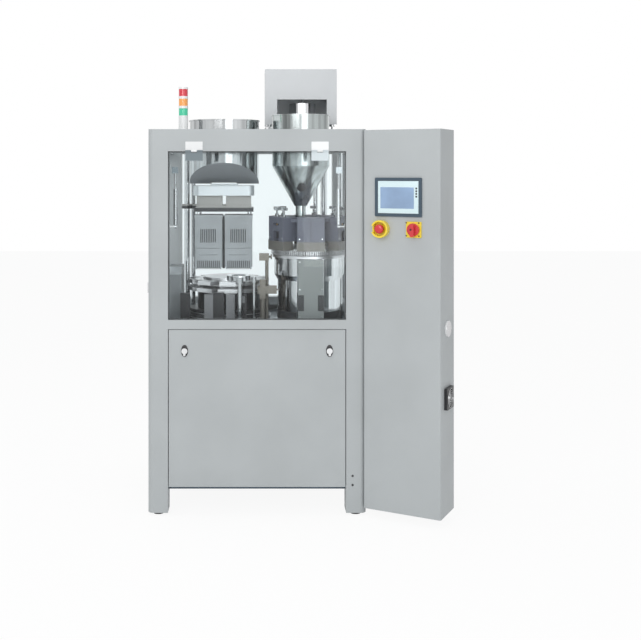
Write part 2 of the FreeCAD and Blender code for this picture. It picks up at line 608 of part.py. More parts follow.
def make_feed_head():
    """Outlet casing, chutes and carrier between the capsule bowl and the magazine."""
    x0, x1 = CAPSULE_X - 143, CAPSULE_X + 143
    front = CAPSULE_Y - 95
    casing = box(x0, x1, front, CAPSULE_Y + 95, CHUTE_BOTTOM, CHUTE_TOP)
    casing = round_edges(casing, 30.0, is_upright)
    casing = casing.cut(box(CAPSULE_X - 60, CAPSULE_X + 60, CAPSULE_Y - 8, CAPSULE_Y + 8, CHUTE_BOTTOM - 1,
                            CHUTE_TOP + 1))
    neck = box(CAPSULE_X - 66, CAPSULE_X + 66, CAPSULE_Y - 14, CAPSULE_Y + 14, CHUTE_TOP - 1,
               BOWL_FLOOR - SEAT_GAP)
    neck = neck.cut(box(CAPSULE_X - 60, CAPSULE_X + 60, CAPSULE_Y - 8, CAPSULE_Y + 8, CHUTE_TOP - 2,
                        BOWL_FLOOR + 1))
    label = box(CAPSULE_X - 18, CAPSULE_X + 18, front - 4, front + 1, CHUTE_BOTTOM + 2, CHUTE_TOP - 6)
    add("feed_head", fuse(casing, neck, label))
    chutes = []
    for sx in (-1, 1):
        a, b = sorted((CAPSULE_X + sx * 10, CAPSULE_X + sx * 128))
        chutes.append(box(a, b, CAPSULE_Y - 70, CAPSULE_Y + 70, CARRIER_TOP + 12, CHUTE_BOTTOM))
    carrier = box(x0 + 4, x1 - 4, CAPSULE_Y - 90, CAPSULE_Y + 90, MAGAZINE_TOP + 8, CARRIER_TOP)
    lip = box(x0 + 14, x1 - 14, CAPSULE_Y - 80, CAPSULE_Y + 80, CARRIER_TOP - 1, CARRIER_TOP + 12)
    carrier = fuse(carrier, lip)
    for sx in (-1, 1):
        for dy in (-40, 40):
            carrier = carrier.cut(cyl(SHAFT_RADIUS + RUNNING_FIT, CAPSULE_X + sx * SHAFT_X, CAPSULE_Y + dy,
                                      0, 3000))
    add("feed_head", carrier, *chutes)
    columns = []
    for sx in (-1, 1):
        for dy in (-40, 40):
            columns.append(cyl(SHAFT_RADIUS, CAPSULE_X + sx * SHAFT_X, CAPSULE_Y + dy, MAGAZINE_BOTTOM + 14,
                               CARRIER_TOP + 12))
    add("guide_columns", *columns)


def slots(x0, x1, count, z0, z1, y0, y1):
    """A comb of upright slots for one row of capsules."""
    pitch = (x1 - x0) / count
    width = pitch * 0.45
    return [box(x0 + (n + 0.5) * pitch - width / 2, x0 + (n + 0.5) * pitch + width / 2, y0, y1, z0, z1)
            for n in range(count)]


MAGAZINE_FRONT = -110.0
MAGAZINE_DEPTH = 120.0
ROWS = 9


def make_magazine():
    """Two slotted blocks that drop capsules, one row at a time, into the turret."""
    blocks = []
    y0 = CAPSULE_Y + MAGAZINE_FRONT
    y1 = y0 + MAGAZINE_DEPTH
    top = MAGAZINE_TOP - MAGAZINE_TRAVEL + 2
    for sx in (-1, 1):
        a, b = sorted((CAPSULE_X + sx * MAGAZINE_GAP / 2,
                       CAPSULE_X + sx * (MAGAZINE_GAP / 2 + MAGAZINE_WIDTH)))
        block = box(a, b, y0 + 6, y1, MAGAZINE_BOTTOM + 10, top)
        cover = box(a, b, y0, y0 + 6, MAGAZINE_BOTTOM + 100, top - 22)
        cap = box(a - 1.0, b + 1.0, y0 - 3, y1, top - 22, top)
        foot = box(a + 4, b - 4, y0 - 2, y0 + 6, MAGAZINE_BOTTOM, MAGAZINE_BOTTOM + 97)
        windows = slots(a + 24, b - 28, ROWS, MAGAZINE_BOTTOM + 124, MAGAZINE_BOTTOM + 187, y0 - 5, y0 + 14)
        combs = slots(a + 10, b - 10, ROWS + 3, MAGAZINE_BOTTOM - 1, MAGAZINE_BOTTOM + 40, y0 - 5, y0 + 16)
        dots = [rod_y(2.5, y0 - 5, y0 + 10, a + 24 + n * 10, MAGAZINE_BOTTOM + 68) for n in range(9)]
        block = fuse(block, cover, cap, foot).cut(Part.makeCompound(windows + combs + dots))
        for dy in (-40, 40):
            block = block.cut(cyl(SHAFT_RADIUS + RUNNING_FIT, CAPSULE_X + sx * SHAFT_X, CAPSULE_Y + dy, 0,
                                  3000))
        screws = [rod_y(4, y0 - 2, y0 + 1, x, MAGAZINE_BOTTOM + 136) for x in (a + 10, b - 10)]
        blocks.append(fuse(block, *screws))
    bridge = box(CAPSULE_X - MAGAZINE_GAP / 2 - 1, CAPSULE_X + MAGAZINE_GAP / 2 + 1, y1 - 30, y1,
                 MAGAZINE_BOTTOM + 37, MAGAZINE_BOTTOM + 242)
    add("sorting_magazine", fuse(blocks[0], bridge, blocks[1]))


TURRET_X = CAPSULE_X + 20.0
TURRET_Y = 0.0
DIE_HEIGHT = 18.0
DIE_ROWS = 9


def make_turret():
    """Indexing turret with a ring of split dies, on its drum-shaped housing."""
    x, y = TURRET_X, TURRET_Y
    hub_top = TURRET_TOP
    hub = revolve([(0, hub_top - 70), (150, hub_top - 70), (150, hub_top - 46), (120, hub_top - 40),
                   (120, hub_top), (0, hub_top)], x, y)
    add("turret_hub", hub)
    upper, lower = [], []
    step = 360.0 / SEGMENT_COUNT
    for n in range(SEGMENT_COUNT):
        for group, z in ((upper, hub_top - 28), (lower, hub_top - 62)):
            inner, half = (151.0, 46.0) if group is lower else (121.0, 38.5)
            die = box(x + inner, x + TURRET_RADIUS, y - half, y + half, z, z + DIE_HEIGHT)
            holes = [cyl(3.4, x + TURRET_RADIUS - row, y - 34 + k * 68.0 / (DIE_ROWS - 1), z - 1,
                         z + DIE_HEIGHT + 1)
                     for row in (10, 24) for k in range(DIE_ROWS)]
            die = die.cut(Part.makeCompound(holes))
            group.append(turned(die, x, y, n * step + step / 2))
    add("upper_dies", *upper)
    add("lower_dies", *lower)
    housing = revolve([(0, TABLE_TOP), (200, TABLE_TOP), (200, TABLE_TOP + 28), (186, TABLE_TOP + 44),
                       (186, TABLE_TOP + 62), (150, TABLE_TOP + 62), (150, hub_top - 70 - SEAT_GAP),
                       (0, hub_top - 70 - SEAT_GAP)], x, y)
    add("turret_housing", housing)


def make_stations():
    """Control blocks, stop posts and clamp arms around the turret."""
    base = TABLE_TOP + 62
    back, front = -206.0, -236.0
    dark = [box(x - width / 2, x + width / 2, front, back, TABLE_TOP, base + 92)
            for x, width in ((-176.0, 50.0), (-70.0, 44.0), (-330.0, 44.0))]
    add("station_blocks", *dark)
    plates = [box(x - 20, x + 20, front, front + 10, TABLE_TOP, base + 86) for x in (-222.0, -122.0)]
    plates += [box(x - 13, x + 13, front - 6 - SEAT_GAP, front - SEAT_GAP, base + 48, base + 78)
               for x in (-122.0, -70.0)]
    add("sensor_plates", *plates)
    posts = []
    for x, y, radius, top in ((-78.0, -262.0, 10.0, TURRET_TOP + 20), (-14.0, -240.0, 6.5, TURRET_TOP + 20)):
        shaft = cyl(radius, x, y, TABLE_TOP, top)
        collar = cyl(radius * 1.9, x, y, TABLE_TOP, TABLE_TOP + 44)
        head = cyl(radius * 1.6, x, y, top - 26, top)
        posts.append(fuse(shaft, collar, head))
    ring_z = TURRET_TOP + SEAT_GAP
    closing_ring = ring(56, 34, -85, -185, ring_z, ring_z + 22)
    add("stop_posts", fuse(posts[0], closing_ring, box(-88, -68, -262, -236, ring_z, ring_z + 20)), posts[1])
    arms = [box(2, 92, -172, -140, TURRET_TOP - 66, TURRET_TOP - 30),
            box(12, 40, -178, -136, TURRET_TOP - 90, TURRET_TOP)]
    arm_post = cyl(13, 26, -157, TABLE_TOP, TURRET_TOP - 60)
    clamp = fuse(arms[0], arms[1], arm_post)
    knob = rod_x(4, 92, 104, -156, TURRET_TOP - 48)
    add("clamp_arms", fuse(clamp, knob))
    guide_y = -120.0
    upper_clamp = box(10, 56, guide_y - 26, guide_y + 16, TURRET_TOP + 86, TURRET_TOP + 118)
    upper_post = cyl(8, 46, guide_y - 8, TABLE_TOP, TURRET_TOP + 118)
    handle = rod_x(5, 55, 66, guide_y, TURRET_TOP + 102)
    grip = rod_x(12, 64, 70, guide_y, TURRET_TOP + 102)
    add("clamp_arms", fuse(upper_clamp, upper_post, handle, grip))
    housing = box(-420, -356, -120, 60, TABLE_TOP, TABLE_TOP + 262)
    housing = housing.makeChamfer(34, [e for e in housing.Edges
                                       if abs(e.Vertexes[0].Z - (TABLE_TOP + 262)) < 1e-6
                                       and abs(e.Vertexes[-1].Z - (TABLE_TOP + 262)) < 1e-6
                                       and abs(e.Vertexes[0].Y + 120) < 1e-6 and abs(e.Vertexes[-1].Y + 120) < 1e-6])
    add("vacuum_housing", housing)


COLUMN_TOP = FRAME_HEIGHT - 30
FEED_COLUMN = (-345.0, 120.0, 15.0)
HEAD_COLUMN = (330.0, 120.0, 16.0)


def make_columns():
    """Pillars from the work table to the roof that carry the feed units."""
    places = (FEED_COLUMN, (-318.0, 165.0, 11.0), HEAD_COLUMN, (404.0, 40.0, 12.0), (290.0, 150.0, 12.0))
    add("guide_columns", *[cyl(r, x, y, TABLE_TOP, COLUMN_TOP) for x, y, r in places])
    x, y, r = FEED_COLUMN
    z0, z1 = MAGAZINE_TOP + 13, CARRIER_TOP + 10
    rear = CAPSULE_Y + 90 + SEAT_GAP
    yoke = fuse(cyl(r + 12, x, y, z0, z1), box(x, CAPSULE_X + 60, y - 12, y + 12, z0, z1),
                box(CAPSULE_X - 60, CAPSULE_X + 60, rear, y + 12, z0, z1))
    add("feed_head", yoke.cut(cyl(r + RUNNING_FIT, x, y, 0, 3000)))


# ---- powder side --------------------------------------------------------------------------
def make_powder_hopper():
    wall = 2.0
    r, ro = CONE_RADIUS, CONE_OUTLET_RADIUS
    profile = [(r, CONE_RIM), (r, CONE_SHOULDER), (ro, CONE_OUTLET), (ro, CONE_OUTLET - 2),
               (ro - 5, CONE_OUTLET - 2),
               (ro - 5, CONE_OUTLET + 1), (r - wall, CONE_SHOULDER + 1), (r - wall, CONE_RIM)]
    hopper = revolve(profile, CONE_X, DOSING_Y)
    rim = ring(r + 3, r - 0.5, CONE_X, DOSING_Y, CONE_RIM - 6, CONE_RIM)
    collar = ring(r + 16, r - 0.5, CONE_X, DOSING_Y, FRAME_HEIGHT - 22, FRAME_HEIGHT - 12)
    add("powder_hopper", fuse(hopper, rim, collar))
    tilt = math.degrees(math.atan2(r - ro, CONE_SHOULDER - CONE_OUTLET))
    sight = Part.makeCylinder(20, 6, V(0, 0, 0), V(0, -1, 0))
    sight_z = CONE_OUTLET + 88
    radius_there = ro + (r - ro) * (sight_z - CONE_OUTLET) / (CONE_SHOULDER - CONE_OUTLET)
    sight.rotate(V(0, 0, 0), V(1, 0, 0), tilt)
    sight.translate(V(CONE_X, DOSING_Y - radius_there - 1.0, sight_z))
    add("hopper_sight_glass", sight.cut(revolve([(0, CONE_OUTLET), (ro, CONE_OUTLET), (r, CONE_SHOULDER),
                                                 (0, CONE_SHOULDER)], CONE_X, DOSING_Y)))
    pipe = ring(PIPE_RADIUS, PIPE_RADIUS - 2, CONE_X, DOSING_Y, HEAD_TOP - 60, CONE_OUTLET + 1)
    add("powder_hopper", pipe.cut(cyl(300, CONE_X, DOSING_Y, CONE_OUTLET - 2 - SEAT_GAP, 3000)))

    shaft = cyl(7, CONE_X, DOSING_Y, HEAD_TOP - 40, CONE_RIM - 60)
    paddle = box(CONE_X - 70, CONE_X + 70, DOSING_Y - 3, DOSING_Y + 3, CONE_SHOULDER - 4, CONE_SHOULDER + 14)
    flights = [cyl(18, CONE_X, DOSING_Y, z, z + 4) for z in range(int(HEAD_TOP - 36), int(CONE_OUTLET + 40),
                                                                  22)]
    add("stirrer_auger", fuse(shaft, paddle, *flights))
    bar = box(CONE_X - r + wall, CONE_X + r - wall, DOSING_Y - 14, DOSING_Y + 14, CONE_RIM - 76,
              CONE_RIM - 66)
    bar = bar.common(cyl(r - wall - SEAT_GAP / 10, CONE_X, DOSING_Y, 0, 3000))
    motor = cyl(36, CONE_X, DOSING_Y, CONE_RIM - 58, CONE_RIM + 6)
    mount = cyl(30, CONE_X, DOSING_Y, CONE_RIM - 67, CONE_RIM - 57)
    drive = fuse(bar, motor, mount).cut(cyl(7 + RUNNING_FIT, CONE_X, DOSING_Y, 0, CONE_RIM - 60 + 1))
    add("stirrer_motor", drive)


HOUSING_FRONT = 50.0
HOUSING_DEPTH = 240.0


def make_feeder_housing():
    x0, x1 = HOUSING_X - 175, HOUSING_X + 175
    y0, y1 = HOUSING_FRONT, HOUSING_FRONT + HOUSING_DEPTH
    shell = box(x0, x1, y0, y1, HOUSING_BOTTOM, HOUSING_TOP)
    shell = shell.cut(box(x0 + SHEET, x1 - SHEET, y0 + SHEET, y1 - SHEET, HOUSING_BOTTOM - 1,
                          HOUSING_TOP - SHEET))
    notch = box(HOUSING_X - 116, HOUSING_X + 126, y0 - 1, y0 + SHEET + 1, HOUSING_BOTTOM - 1,
                HOUSING_BOTTOM + 122)
    add("feeder_cover", shell.cut(notch))
    lid = [cyl(66, SEPARATOR_X, y0 + 130, FRAME_HEIGHT - 22 + SEAT_GAP, HOUSING_BOTTOM + 108),
           cyl(5, SEPARATOR_X, y0 + 130, HOUSING_BOTTOM + 107, HOUSING_TOP - SHEET - SEAT_GAP)]
    add("separator_and_clamps", fuse(*lid))
    feet = []
    for x in (x0 + 22, x1 - 22):
        for y in (y0 + 22, y1 - 22):
            stud = cyl(6, x, y, FRAME_HEIGHT - 22 + SEAT_GAP, HOUSING_BOTTOM + 14)
            pad = cyl(15, x, y, HOUSING_BOTTOM - 10, HOUSING_BOTTOM - SEAT_GAP)
            wing = box(x - 22, x + 22, y - 3, y + 3, HOUSING_BOTTOM - 26, HOUSING_BOTTOM - 8)
            wing = wing.makeChamfer(12,
                                    [e for e in wing.Edges if abs(e.Vertexes[0].Z - (HOUSING_BOTTOM - 26)) < 1e-6
                                         and abs(e.Vertexes[-1].Z - (HOUSING_BOTTOM - 26)) < 1e-6
                                         and abs(e.Vertexes[0].X - e.Vertexes[-1].X) < 1e-6])
            tab = box(x - 20 if x < HOUSING_X else x - 8, x + 8 if x < HOUSING_X else x + 20, y - 12, y + 12,
                      HOUSING_BOTTOM - SEAT_GAP - 4, HOUSING_BOTTOM - SEAT_GAP)
            feet.append(fuse(stud, pad, wing, tab))
    add("separator_and_clamps", *feet)


HEAD_STATIONS = 6
DISC_THICKNESS = 12.0
GUIDE_POST_RADIUS = 22.0
DISC_BORE = 100.0


def station_angles():
    return [-90 + n * 360.0 / HEAD_STATIONS for n in range(HEAD_STATIONS)]


def make_dosing_head():
    """Ring of tamping stations over the dosing disc."""
    x, y = DOSING_X, DOSING_Y
    top_plate = cyl(HEAD_RADIUS - 30, x, y, HEAD_TOP - 22, HEAD_TOP - 8)
    top_plate = top_plate.cut(cyl(PIPE_RADIUS + 3, CONE_X, DOSING_Y, 0, 3000))
    cx, cy, cr = HEAD_COLUMN
    arm = fuse(cyl(cr + 14, cx, cy, HEAD_TOP - 70, HEAD_TOP - 34),
               box(cx - 40, cx + 14, y + HEAD_RADIUS - 30, cy, HEAD_TOP - 70, HEAD_TOP - 34))
    arm = arm.cut(cyl(cr + RUNNING_FIT, cx, cy, 0, 3000))
    blocks, bands = [], []
    for n, angle in enumerate(station_angles()):
        width = 62.0
        block = box(x + 96, x + HEAD_RADIUS, y - width, y + width, HEAD_BOTTOM, HEAD_TOP)
        seam = box(x + HEAD_RADIUS - 2, x + HEAD_RADIUS + 1, y - 1, y + 1, HEAD_BOTTOM - 1, HEAD_TOP + 1)
        block = block.cut(seam)
        if n % 2:
            slot_low = box(x + HEAD_RADIUS - 26, x + HEAD_RADIUS + 1, y - 26, y + 26, HEAD_BOTTOM - 1,
                           HEAD_BOTTOM + 46)
            slot_high = box(x + HEAD_RADIUS - 18, x + HEAD_RADIUS + 1, y - 26, y + 26, HEAD_TOP - 40,
                            HEAD_TOP - 28)
            block = block.cut(slot_low).cut(slot_high)
        recess = box(x + 90, x + HEAD_RADIUS - 40, y - 45, y + 45, HEAD_BOTTOM - 1, HEAD_TOP - 30)
        block = block.cut(recess)
        blocks.append(turned(block, x, y, angle))
        band = box(x + 110, x + HEAD_RADIUS + 2, y - width - 2, y + width + 2, BAND_BOTTOM,
                   HEAD_BOTTOM - SEAT_GAP)
        band = band.cut(box(x + 100, x + HEAD_RADIUS - 12, y - 50, y + 50, BAND_BOTTOM - 1, HEAD_BOTTOM))
        bands.append(turned(band, x, y, angle))
    head = fuse(top_plate, arm, *blocks)
    add("tamping_station_ring", head.cut(cyl(PIPE_RADIUS + 3, CONE_X, DOSING_Y, 0, 3000)))
    add("station_bands", fuse(*bands).cut(cyl(HEAD_RADIUS - 38, x, y, 0, 3000)))


def make_tamping_rods():
    """Rods on one moving crown, with an adjusting knob for each station."""
    x, y = DOSING_X, DOSING_Y
    rods = []
    crown = ring(HEAD_RADIUS - 66, GUIDE_POST_RADIUS + RUNNING_FIT, x, y, BAND_BOTTOM + 4, BAND_BOTTOM + 16)
    crown = crown.cut(box(x - 92, x - 28, y - 34, y + 34, 0, 3000))
    for angle in station_angles():
        for k in range(7):
            reach = HEAD_RADIUS - 48
            rod = cyl(4, x + reach, y - 42 + k * 14, DISC_TOP + 2, BAND_BOTTOM + 14)
            rods.append(turned(rod, x, y, angle))
        bar = box(x + 110, x + HEAD_RADIUS - 42, y - 47, y + 47, BAND_BOTTOM + 8, BAND_BOTTOM + 20)
        rods.append(turned(bar, x, y, angle))
    add("tamping_rods", fuse(crown, *rods))
    knobs = []
    for n, angle in enumerate(station_angles()):
        if n == 0:
            continue
        for side in (-1, 1):
            px, py = x + HEAD_RADIUS - 26, y + side * 30
            stud = cyl(4, px, py, HEAD_TOP + SEAT_GAP, HEAD_TOP + 34)
            nut = cyl(9, px, py, HEAD_TOP + SEAT_GAP, HEAD_TOP + 10)
            grip = cyl(13, px, py, HEAD_TOP + 30, HEAD_TOP + 44)
            lobes = [turned(cyl(5, px + 12, py, HEAD_TOP + 31, HEAD_TOP + 43), px, py,
                            k * 72) for k in range(5)]
            knobs.append(turned(fuse(stud, nut, grip, *lobes), x, y, angle))
    add("adjusting_knobs", *knobs)


def make_dosing_base():
    x, y = DOSING_X, DOSING_Y
    disc = ring(HEAD_RADIUS - 10, DISC_BORE, x, y, DISC_TOP - DISC_THICKNESS, DISC_TOP)
    holes = [turned(cyl(4.5, x + HEAD_RADIUS - 48, y - 42 + k * 14, DISC_TOP - DISC_THICKNESS - 1,
                        DISC_TOP + 1), x, y, a)
             for a in station_angles() for k in range(7)]
    add("dosing_disc", disc.cut(Part.makeCompound(holes)))
    drum_top = DISC_TOP - DISC_THICKNESS - SEAT_GAP
    drum = revolve([(0, DRUM_BOTTOM), (DRUM_RADIUS - 14, DRUM_BOTTOM), (DRUM_RADIUS, DRUM_BOTTOM + 24),
                    (DRUM_RADIUS, drum_top), (DISC_BORE - RUNNING_FIT, drum_top),
                    (DISC_BORE - RUNNING_FIT, DISC_TOP - 2), (GUIDE_POST_RADIUS, DISC_TOP - 2),
                    (GUIDE_POST_RADIUS, HEAD_BOTTOM - 4), (0, HEAD_BOTTOM - 4)], x, y)
    base = revolve([(0, TABLE_TOP), (PEDESTAL_RADIUS, TABLE_TOP), (PEDESTAL_RADIUS, DRUM_BOTTOM),
                    (0, DRUM_BOTTOM)], x, y)
    drum = fuse(drum, base)
    recess = box(x - 62, x + 62, y - 200, y - PEDESTAL_RADIUS + 18, TABLE_TOP + 26, DISC_TOP)
    add("dosing_pedestal", drum.cut(recess))
    cover_y = y - DRUM_RADIUS - 2
    cover = box(x - 58, x + 58, cover_y - 6, cover_y, TABLE_TOP + 38, DISC_TOP - DISC_THICKNESS - 2)
    spacer = box(x - 40, x + 40, cover_y - 1, y - PEDESTAL_RADIUS + 18 - SEAT_GAP, TABLE_TOP + 60,
                 TABLE_TOP + 200)
    add("pedestal_cover", fuse(cover, spacer))
    straps = [box(a, a + 28, cover_y - 10, cover_y - 6 - SEAT_GAP, TABLE_TOP + 78,
                  TABLE_TOP + 150) for a in (x - 60, x + 32)]
    add("pedestal_trim", *straps)
    add("pedestal_trim", ring(PEDESTAL_RADIUS + 2, PEDESTAL_RADIUS + SEAT_GAP / 2, x, y, TABLE_TOP + 28,
                              TABLE_TOP + 66).cut(
        box(x - 62, x + 62, y - 300, y - 60, 0, 3000)))


# ---- drive base --------------------------------------------------------------------------
def make_drive():
    z = PAN_TOP
    motor = rod_x(90, -120, 160, 120, z + 200)
    foot = box(-90, 130, 40, 200, z, z + 130)
    gear = box(160, 300, 30, 210, z, z + 320)
    add("drive_units", fuse(motor, foot, gear))
    boxes = []
    table_under = TABLE_TOP - TABLE_THICKNESS
    for x, y in ((TURRET_X, TURRET_Y), (DOSING_X, DOSING_Y)):
        boxes.append(box(x - 95, x + 95, y - 95, y + 95, 600, table_under))
    add("drive_units", *boxes)
    shaft = rod_x(17.5, -400, 400, -10, 500)
    cams = [rod_x(r, x, x + 18, -10 + off, 500) for x, r, off in
            ((-300, 70, 14), (-220, 62, -10), (20, 74, 12), (60, 60, -14), (340, 66, 10))]
    sprocket = rod_x(52, 230, 246, -10, 500)
    add("main_camshaft", fuse(shaft, *cams, sprocket))
    bearings = []
    for x in (-404, 376):
        block = box(x, x + 28, -50, 30, PAN_TOP, 540)
        bearings.append(block.cut(rod_x(17.5 + RUNNING_FIT, x - 1, x + 29, -10, 500)))
    add("drive_units", *bearings)


def centre_and_write():
    """Moves every piece so that the origin is the middle of the base, and writes it."""
    whole = Part.makeCompound([solid for solids in nodes.values() for solid in solids]).BoundBox
    shift = V(-(whole.XMin + whole.XMax) / 2, -(whole.YMin + whole.YMax) / 2, 0)
    os.makedirs("parts", exist_ok=True)
    for name, solids in nodes.items():
        shape = Part.makeCompound(solids) if len(solids) > 1 else solids[0]
        shape.translate(shift)
        shape.exportStep(os.path.join("parts", name + ".step"))
    return shift


make_frame()
make_panels()
make_lower_door()
make_front_window()
make_struts()
make_side_doors()
make_cabinet()
make_tower()
make_bowl()
make_feed_head()
make_magazine()
make_turret()
make_stations()
make_columns()
make_powder_hopper()
make_feeder_housing()
make_dosing_head()
make_tamping_rods()
make_dosing_base()
make_drive()
SHIFT = centre_and_write()
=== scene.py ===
"""Looks of the capsule filling machine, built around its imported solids.

Every place is worked out from the frame's boxes and joints. Lengths are metres.
"""
import json
import math

import bmesh
import bpy
from mathutils import Matrix, Vector


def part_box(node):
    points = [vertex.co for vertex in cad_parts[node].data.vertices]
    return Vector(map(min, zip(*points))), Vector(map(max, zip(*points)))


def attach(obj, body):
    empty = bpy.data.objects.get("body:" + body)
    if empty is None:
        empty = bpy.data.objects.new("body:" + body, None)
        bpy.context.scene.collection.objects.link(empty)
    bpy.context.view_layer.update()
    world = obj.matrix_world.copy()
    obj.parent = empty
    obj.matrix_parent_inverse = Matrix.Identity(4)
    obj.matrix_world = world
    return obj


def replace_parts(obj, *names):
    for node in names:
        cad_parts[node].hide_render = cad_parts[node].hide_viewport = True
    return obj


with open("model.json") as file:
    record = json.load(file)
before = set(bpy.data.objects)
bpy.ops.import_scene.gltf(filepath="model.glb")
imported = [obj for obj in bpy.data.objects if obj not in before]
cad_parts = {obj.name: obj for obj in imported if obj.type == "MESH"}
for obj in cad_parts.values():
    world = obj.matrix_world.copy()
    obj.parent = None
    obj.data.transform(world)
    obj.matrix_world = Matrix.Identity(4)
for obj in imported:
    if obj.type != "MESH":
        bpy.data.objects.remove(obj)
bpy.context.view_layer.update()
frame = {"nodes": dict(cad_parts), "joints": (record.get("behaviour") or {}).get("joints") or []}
MM = 0.001
Y, Z = Vector((0, 1, 0)), Vector((0, 0, 1))
JOINTS = {joint["name"]: joint for joint in frame["joints"]}
INTO_CABINET = Vector(JOINTS["stop_button_press"]["axis"]).normalized()
ALONG_CABINET = Vector(JOINTS["fan_spin"]["axis"]).normalized()


# ---- shared shader effects --------------------------------------------------
def new_group(name, inputs, outputs):
    """An empty shader group with its sockets, and its entry and leaving nodes."""
    group = bpy.data.node_groups.new(name, "ShaderNodeTree")
    for label, kind, value in inputs:
        socket = group.interface.new_socket(label, in_out="INPUT", socket_type=kind)
        socket.default_value = value
    for label, kind in outputs:
        group.interface.new_socket(label, in_out="OUTPUT", socket_type=kind)
    return group, group.nodes.new("NodeGroupInput"), group.nodes.new("NodeGroupOutput")


def stretched_noise(group, entry, detail):
    """Noise in the piece's own coordinates, scaled separately along each axis."""
    place = group.nodes.new("ShaderNodeTexCoord")
    scale = group.nodes.new("ShaderNodeVectorMath")
    scale.operation = "MULTIPLY"
    noise = group.nodes.new("ShaderNodeTexNoise")
    noise.inputs["Detail"].default_value = detail
    noise.inputs["Scale"].default_value = 1.0
    group.links.new(place.outputs["Object"], scale.inputs[0])
    group.links.new(entry.outputs["Scale"], scale.inputs[1])
    group.links.new(scale.outputs[0], noise.inputs["Vector"])
    return noise.outputs["Fac"]


def make_colour_drift():
    """A colour that grows a little lighter and darker over the surface."""
    group, entry, leave = new_group(
        "colour_drift",
        [("Color", "NodeSocketColor", (0.5, 0.5, 0.5, 1)), ("Dark", "NodeSocketFloat", 0.94),
         ("Light", "NodeSocketFloat", 1.04), ("Scale", "NodeSocketVector", (3, 3, 3))],
        [("Color", "NodeSocketColor")])
    noise = stretched_noise(group, entry, 3.0)
    level = group.nodes.new("ShaderNodeMapRange")
    level.inputs["From Min"].default_value = 0.35
    level.inputs["From Max"].default_value = 0.65
    tint = group.nodes.new("ShaderNodeVectorMath")
    tint.operation = "SCALE"
    group.links.new(noise, level.inputs["Value"])
    group.links.new(entry.outputs["Dark"], level.inputs["To Min"])
    group.links.new(entry.outputs["Light"], level.inputs["To Max"])
    group.links.new(entry.outputs["Color"], tint.inputs[0])
    group.links.new(level.outputs[0], tint.inputs["Scale"])
    group.links.new(tint.outputs[0], leave.inputs["Color"])
    return group


def make_surface_grain():
    """Roughness and height of a fine surface: brushing, speckle or orange peel."""
    group, entry, leave = new_group(
        "surface_grain",
        [("Smooth", "NodeSocketFloat", 0.2), ("Rough", "NodeSocketFloat", 0.4),
         ("Scale", "NodeSocketVector", (400, 400, 400))],
        [("Roughness", "NodeSocketFloat"), ("Height", "NodeSocketFloat")])
    noise = stretched_noise(group, entry, 2.0)
    level = group.nodes.new("ShaderNodeMapRange")
    level.inputs["From Min"].default_value = 0.3
    level.inputs["From Max"].default_value = 0.7
    group.links.new(noise, level.inputs["Value"])
    group.links.new(entry.outputs["Smooth"], level.inputs["To Min"])
    group.links.new(entry.outputs["Rough"], level.inputs["To Max"])
    group.links.new(level.outputs[0], leave.inputs["Roughness"])
    group.links.new(noise, leave.inputs["Height"])
    return group


COLOUR_DRIFT = make_colour_drift()
SURFACE_GRAIN = make_surface_grain()


# ---- materials ----------------------------------------------------------------
def place_group(tree, group, **values):
    """Puts a shared group into a material, with that material's own values."""
    node = tree.nodes.new("ShaderNodeGroup")
    node.node_tree = group
    for label, value in values.items():
        node.inputs[label].default_value = value
    return node


def finish(name, colour, smooth, rough, metallic=0.0, coat=0.0, drift=(0.96, 1.03),
           drift_scale=(3, 3, 3), grain_scale=(500, 500, 500), bump=0.1):
    """An opaque finish: drifting colour, varying roughness and a fine relief."""
    material = bpy.data.materials.new(name)
    material.use_nodes = True
    tree = material.node_tree
    shader = tree.nodes["Principled BSDF"]
    shader.inputs["Metallic"].default_value = metallic
    shader.inputs["Coat Weight"].default_value = coat
    shader.inputs["Coat Roughness"].default_value = 0.08
    tone = place_group(tree, COLOUR_DRIFT, Color=(*colour, 1), Dark=drift[0], Light=drift[1],
                       Scale=drift_scale)
    grain = place_group(tree, SURFACE_GRAIN, Smooth=smooth, Rough=rough, Scale=grain_scale)
    relief = tree.nodes.new("ShaderNodeBump")
    relief.inputs["Strength"].default_value = bump
    relief.inputs["Distance"].default_value = 0.0002
    tree.links.new(tone.outputs["Color"], shader.inputs["Base Color"])
    tree.links.new(grain.outputs["Roughness"], shader.inputs["Roughness"])
    tree.links.new(grain.outputs["Height"], relief.inputs["Height"])
    tree.links.new(relief.outputs["Normal"], shader.inputs["Normal"])
    return material


def clear_pane(name, colour):
    """Flat clear sheet. Light passes it without a heavy shadow."""
    material = bpy.data.materials.new(name)
    material.use_nodes = True
    tree = material.node_tree
    shader = tree.nodes["Principled BSDF"]
    shader.inputs["Base Color"].default_value = (*colour, 1)
    shader.inputs["Roughness"].default_value = 0.02
    shader.inputs["IOR"].default_value = 1.25
    shader.inputs["Transmission Weight"].default_value = 1.0
    ray = tree.nodes.new("ShaderNodeLightPath")
    soft = tree.nodes.new("ShaderNodeMath")
    soft.operation = "MAXIMUM"
    open_way = tree.nodes.new("ShaderNodeBsdfTransparent")
    mix = tree.nodes.new("ShaderNodeMixShader")
    tree.links.new(ray.outputs["Is Shadow Ray"], soft.inputs[0])
    tree.links.new(ray.outputs["Is Diffuse Ray"], soft.inputs[1])
    tree.links.new(soft.outputs[0], mix.inputs["Fac"])
    tree.links.new(shader.outputs[0], mix.inputs[1])
    tree.links.new(open_way.outputs[0], mix.inputs[2])
    tree.links.new(mix.outputs[0], tree.nodes["Material Output"].inputs["Surface"])
    return material


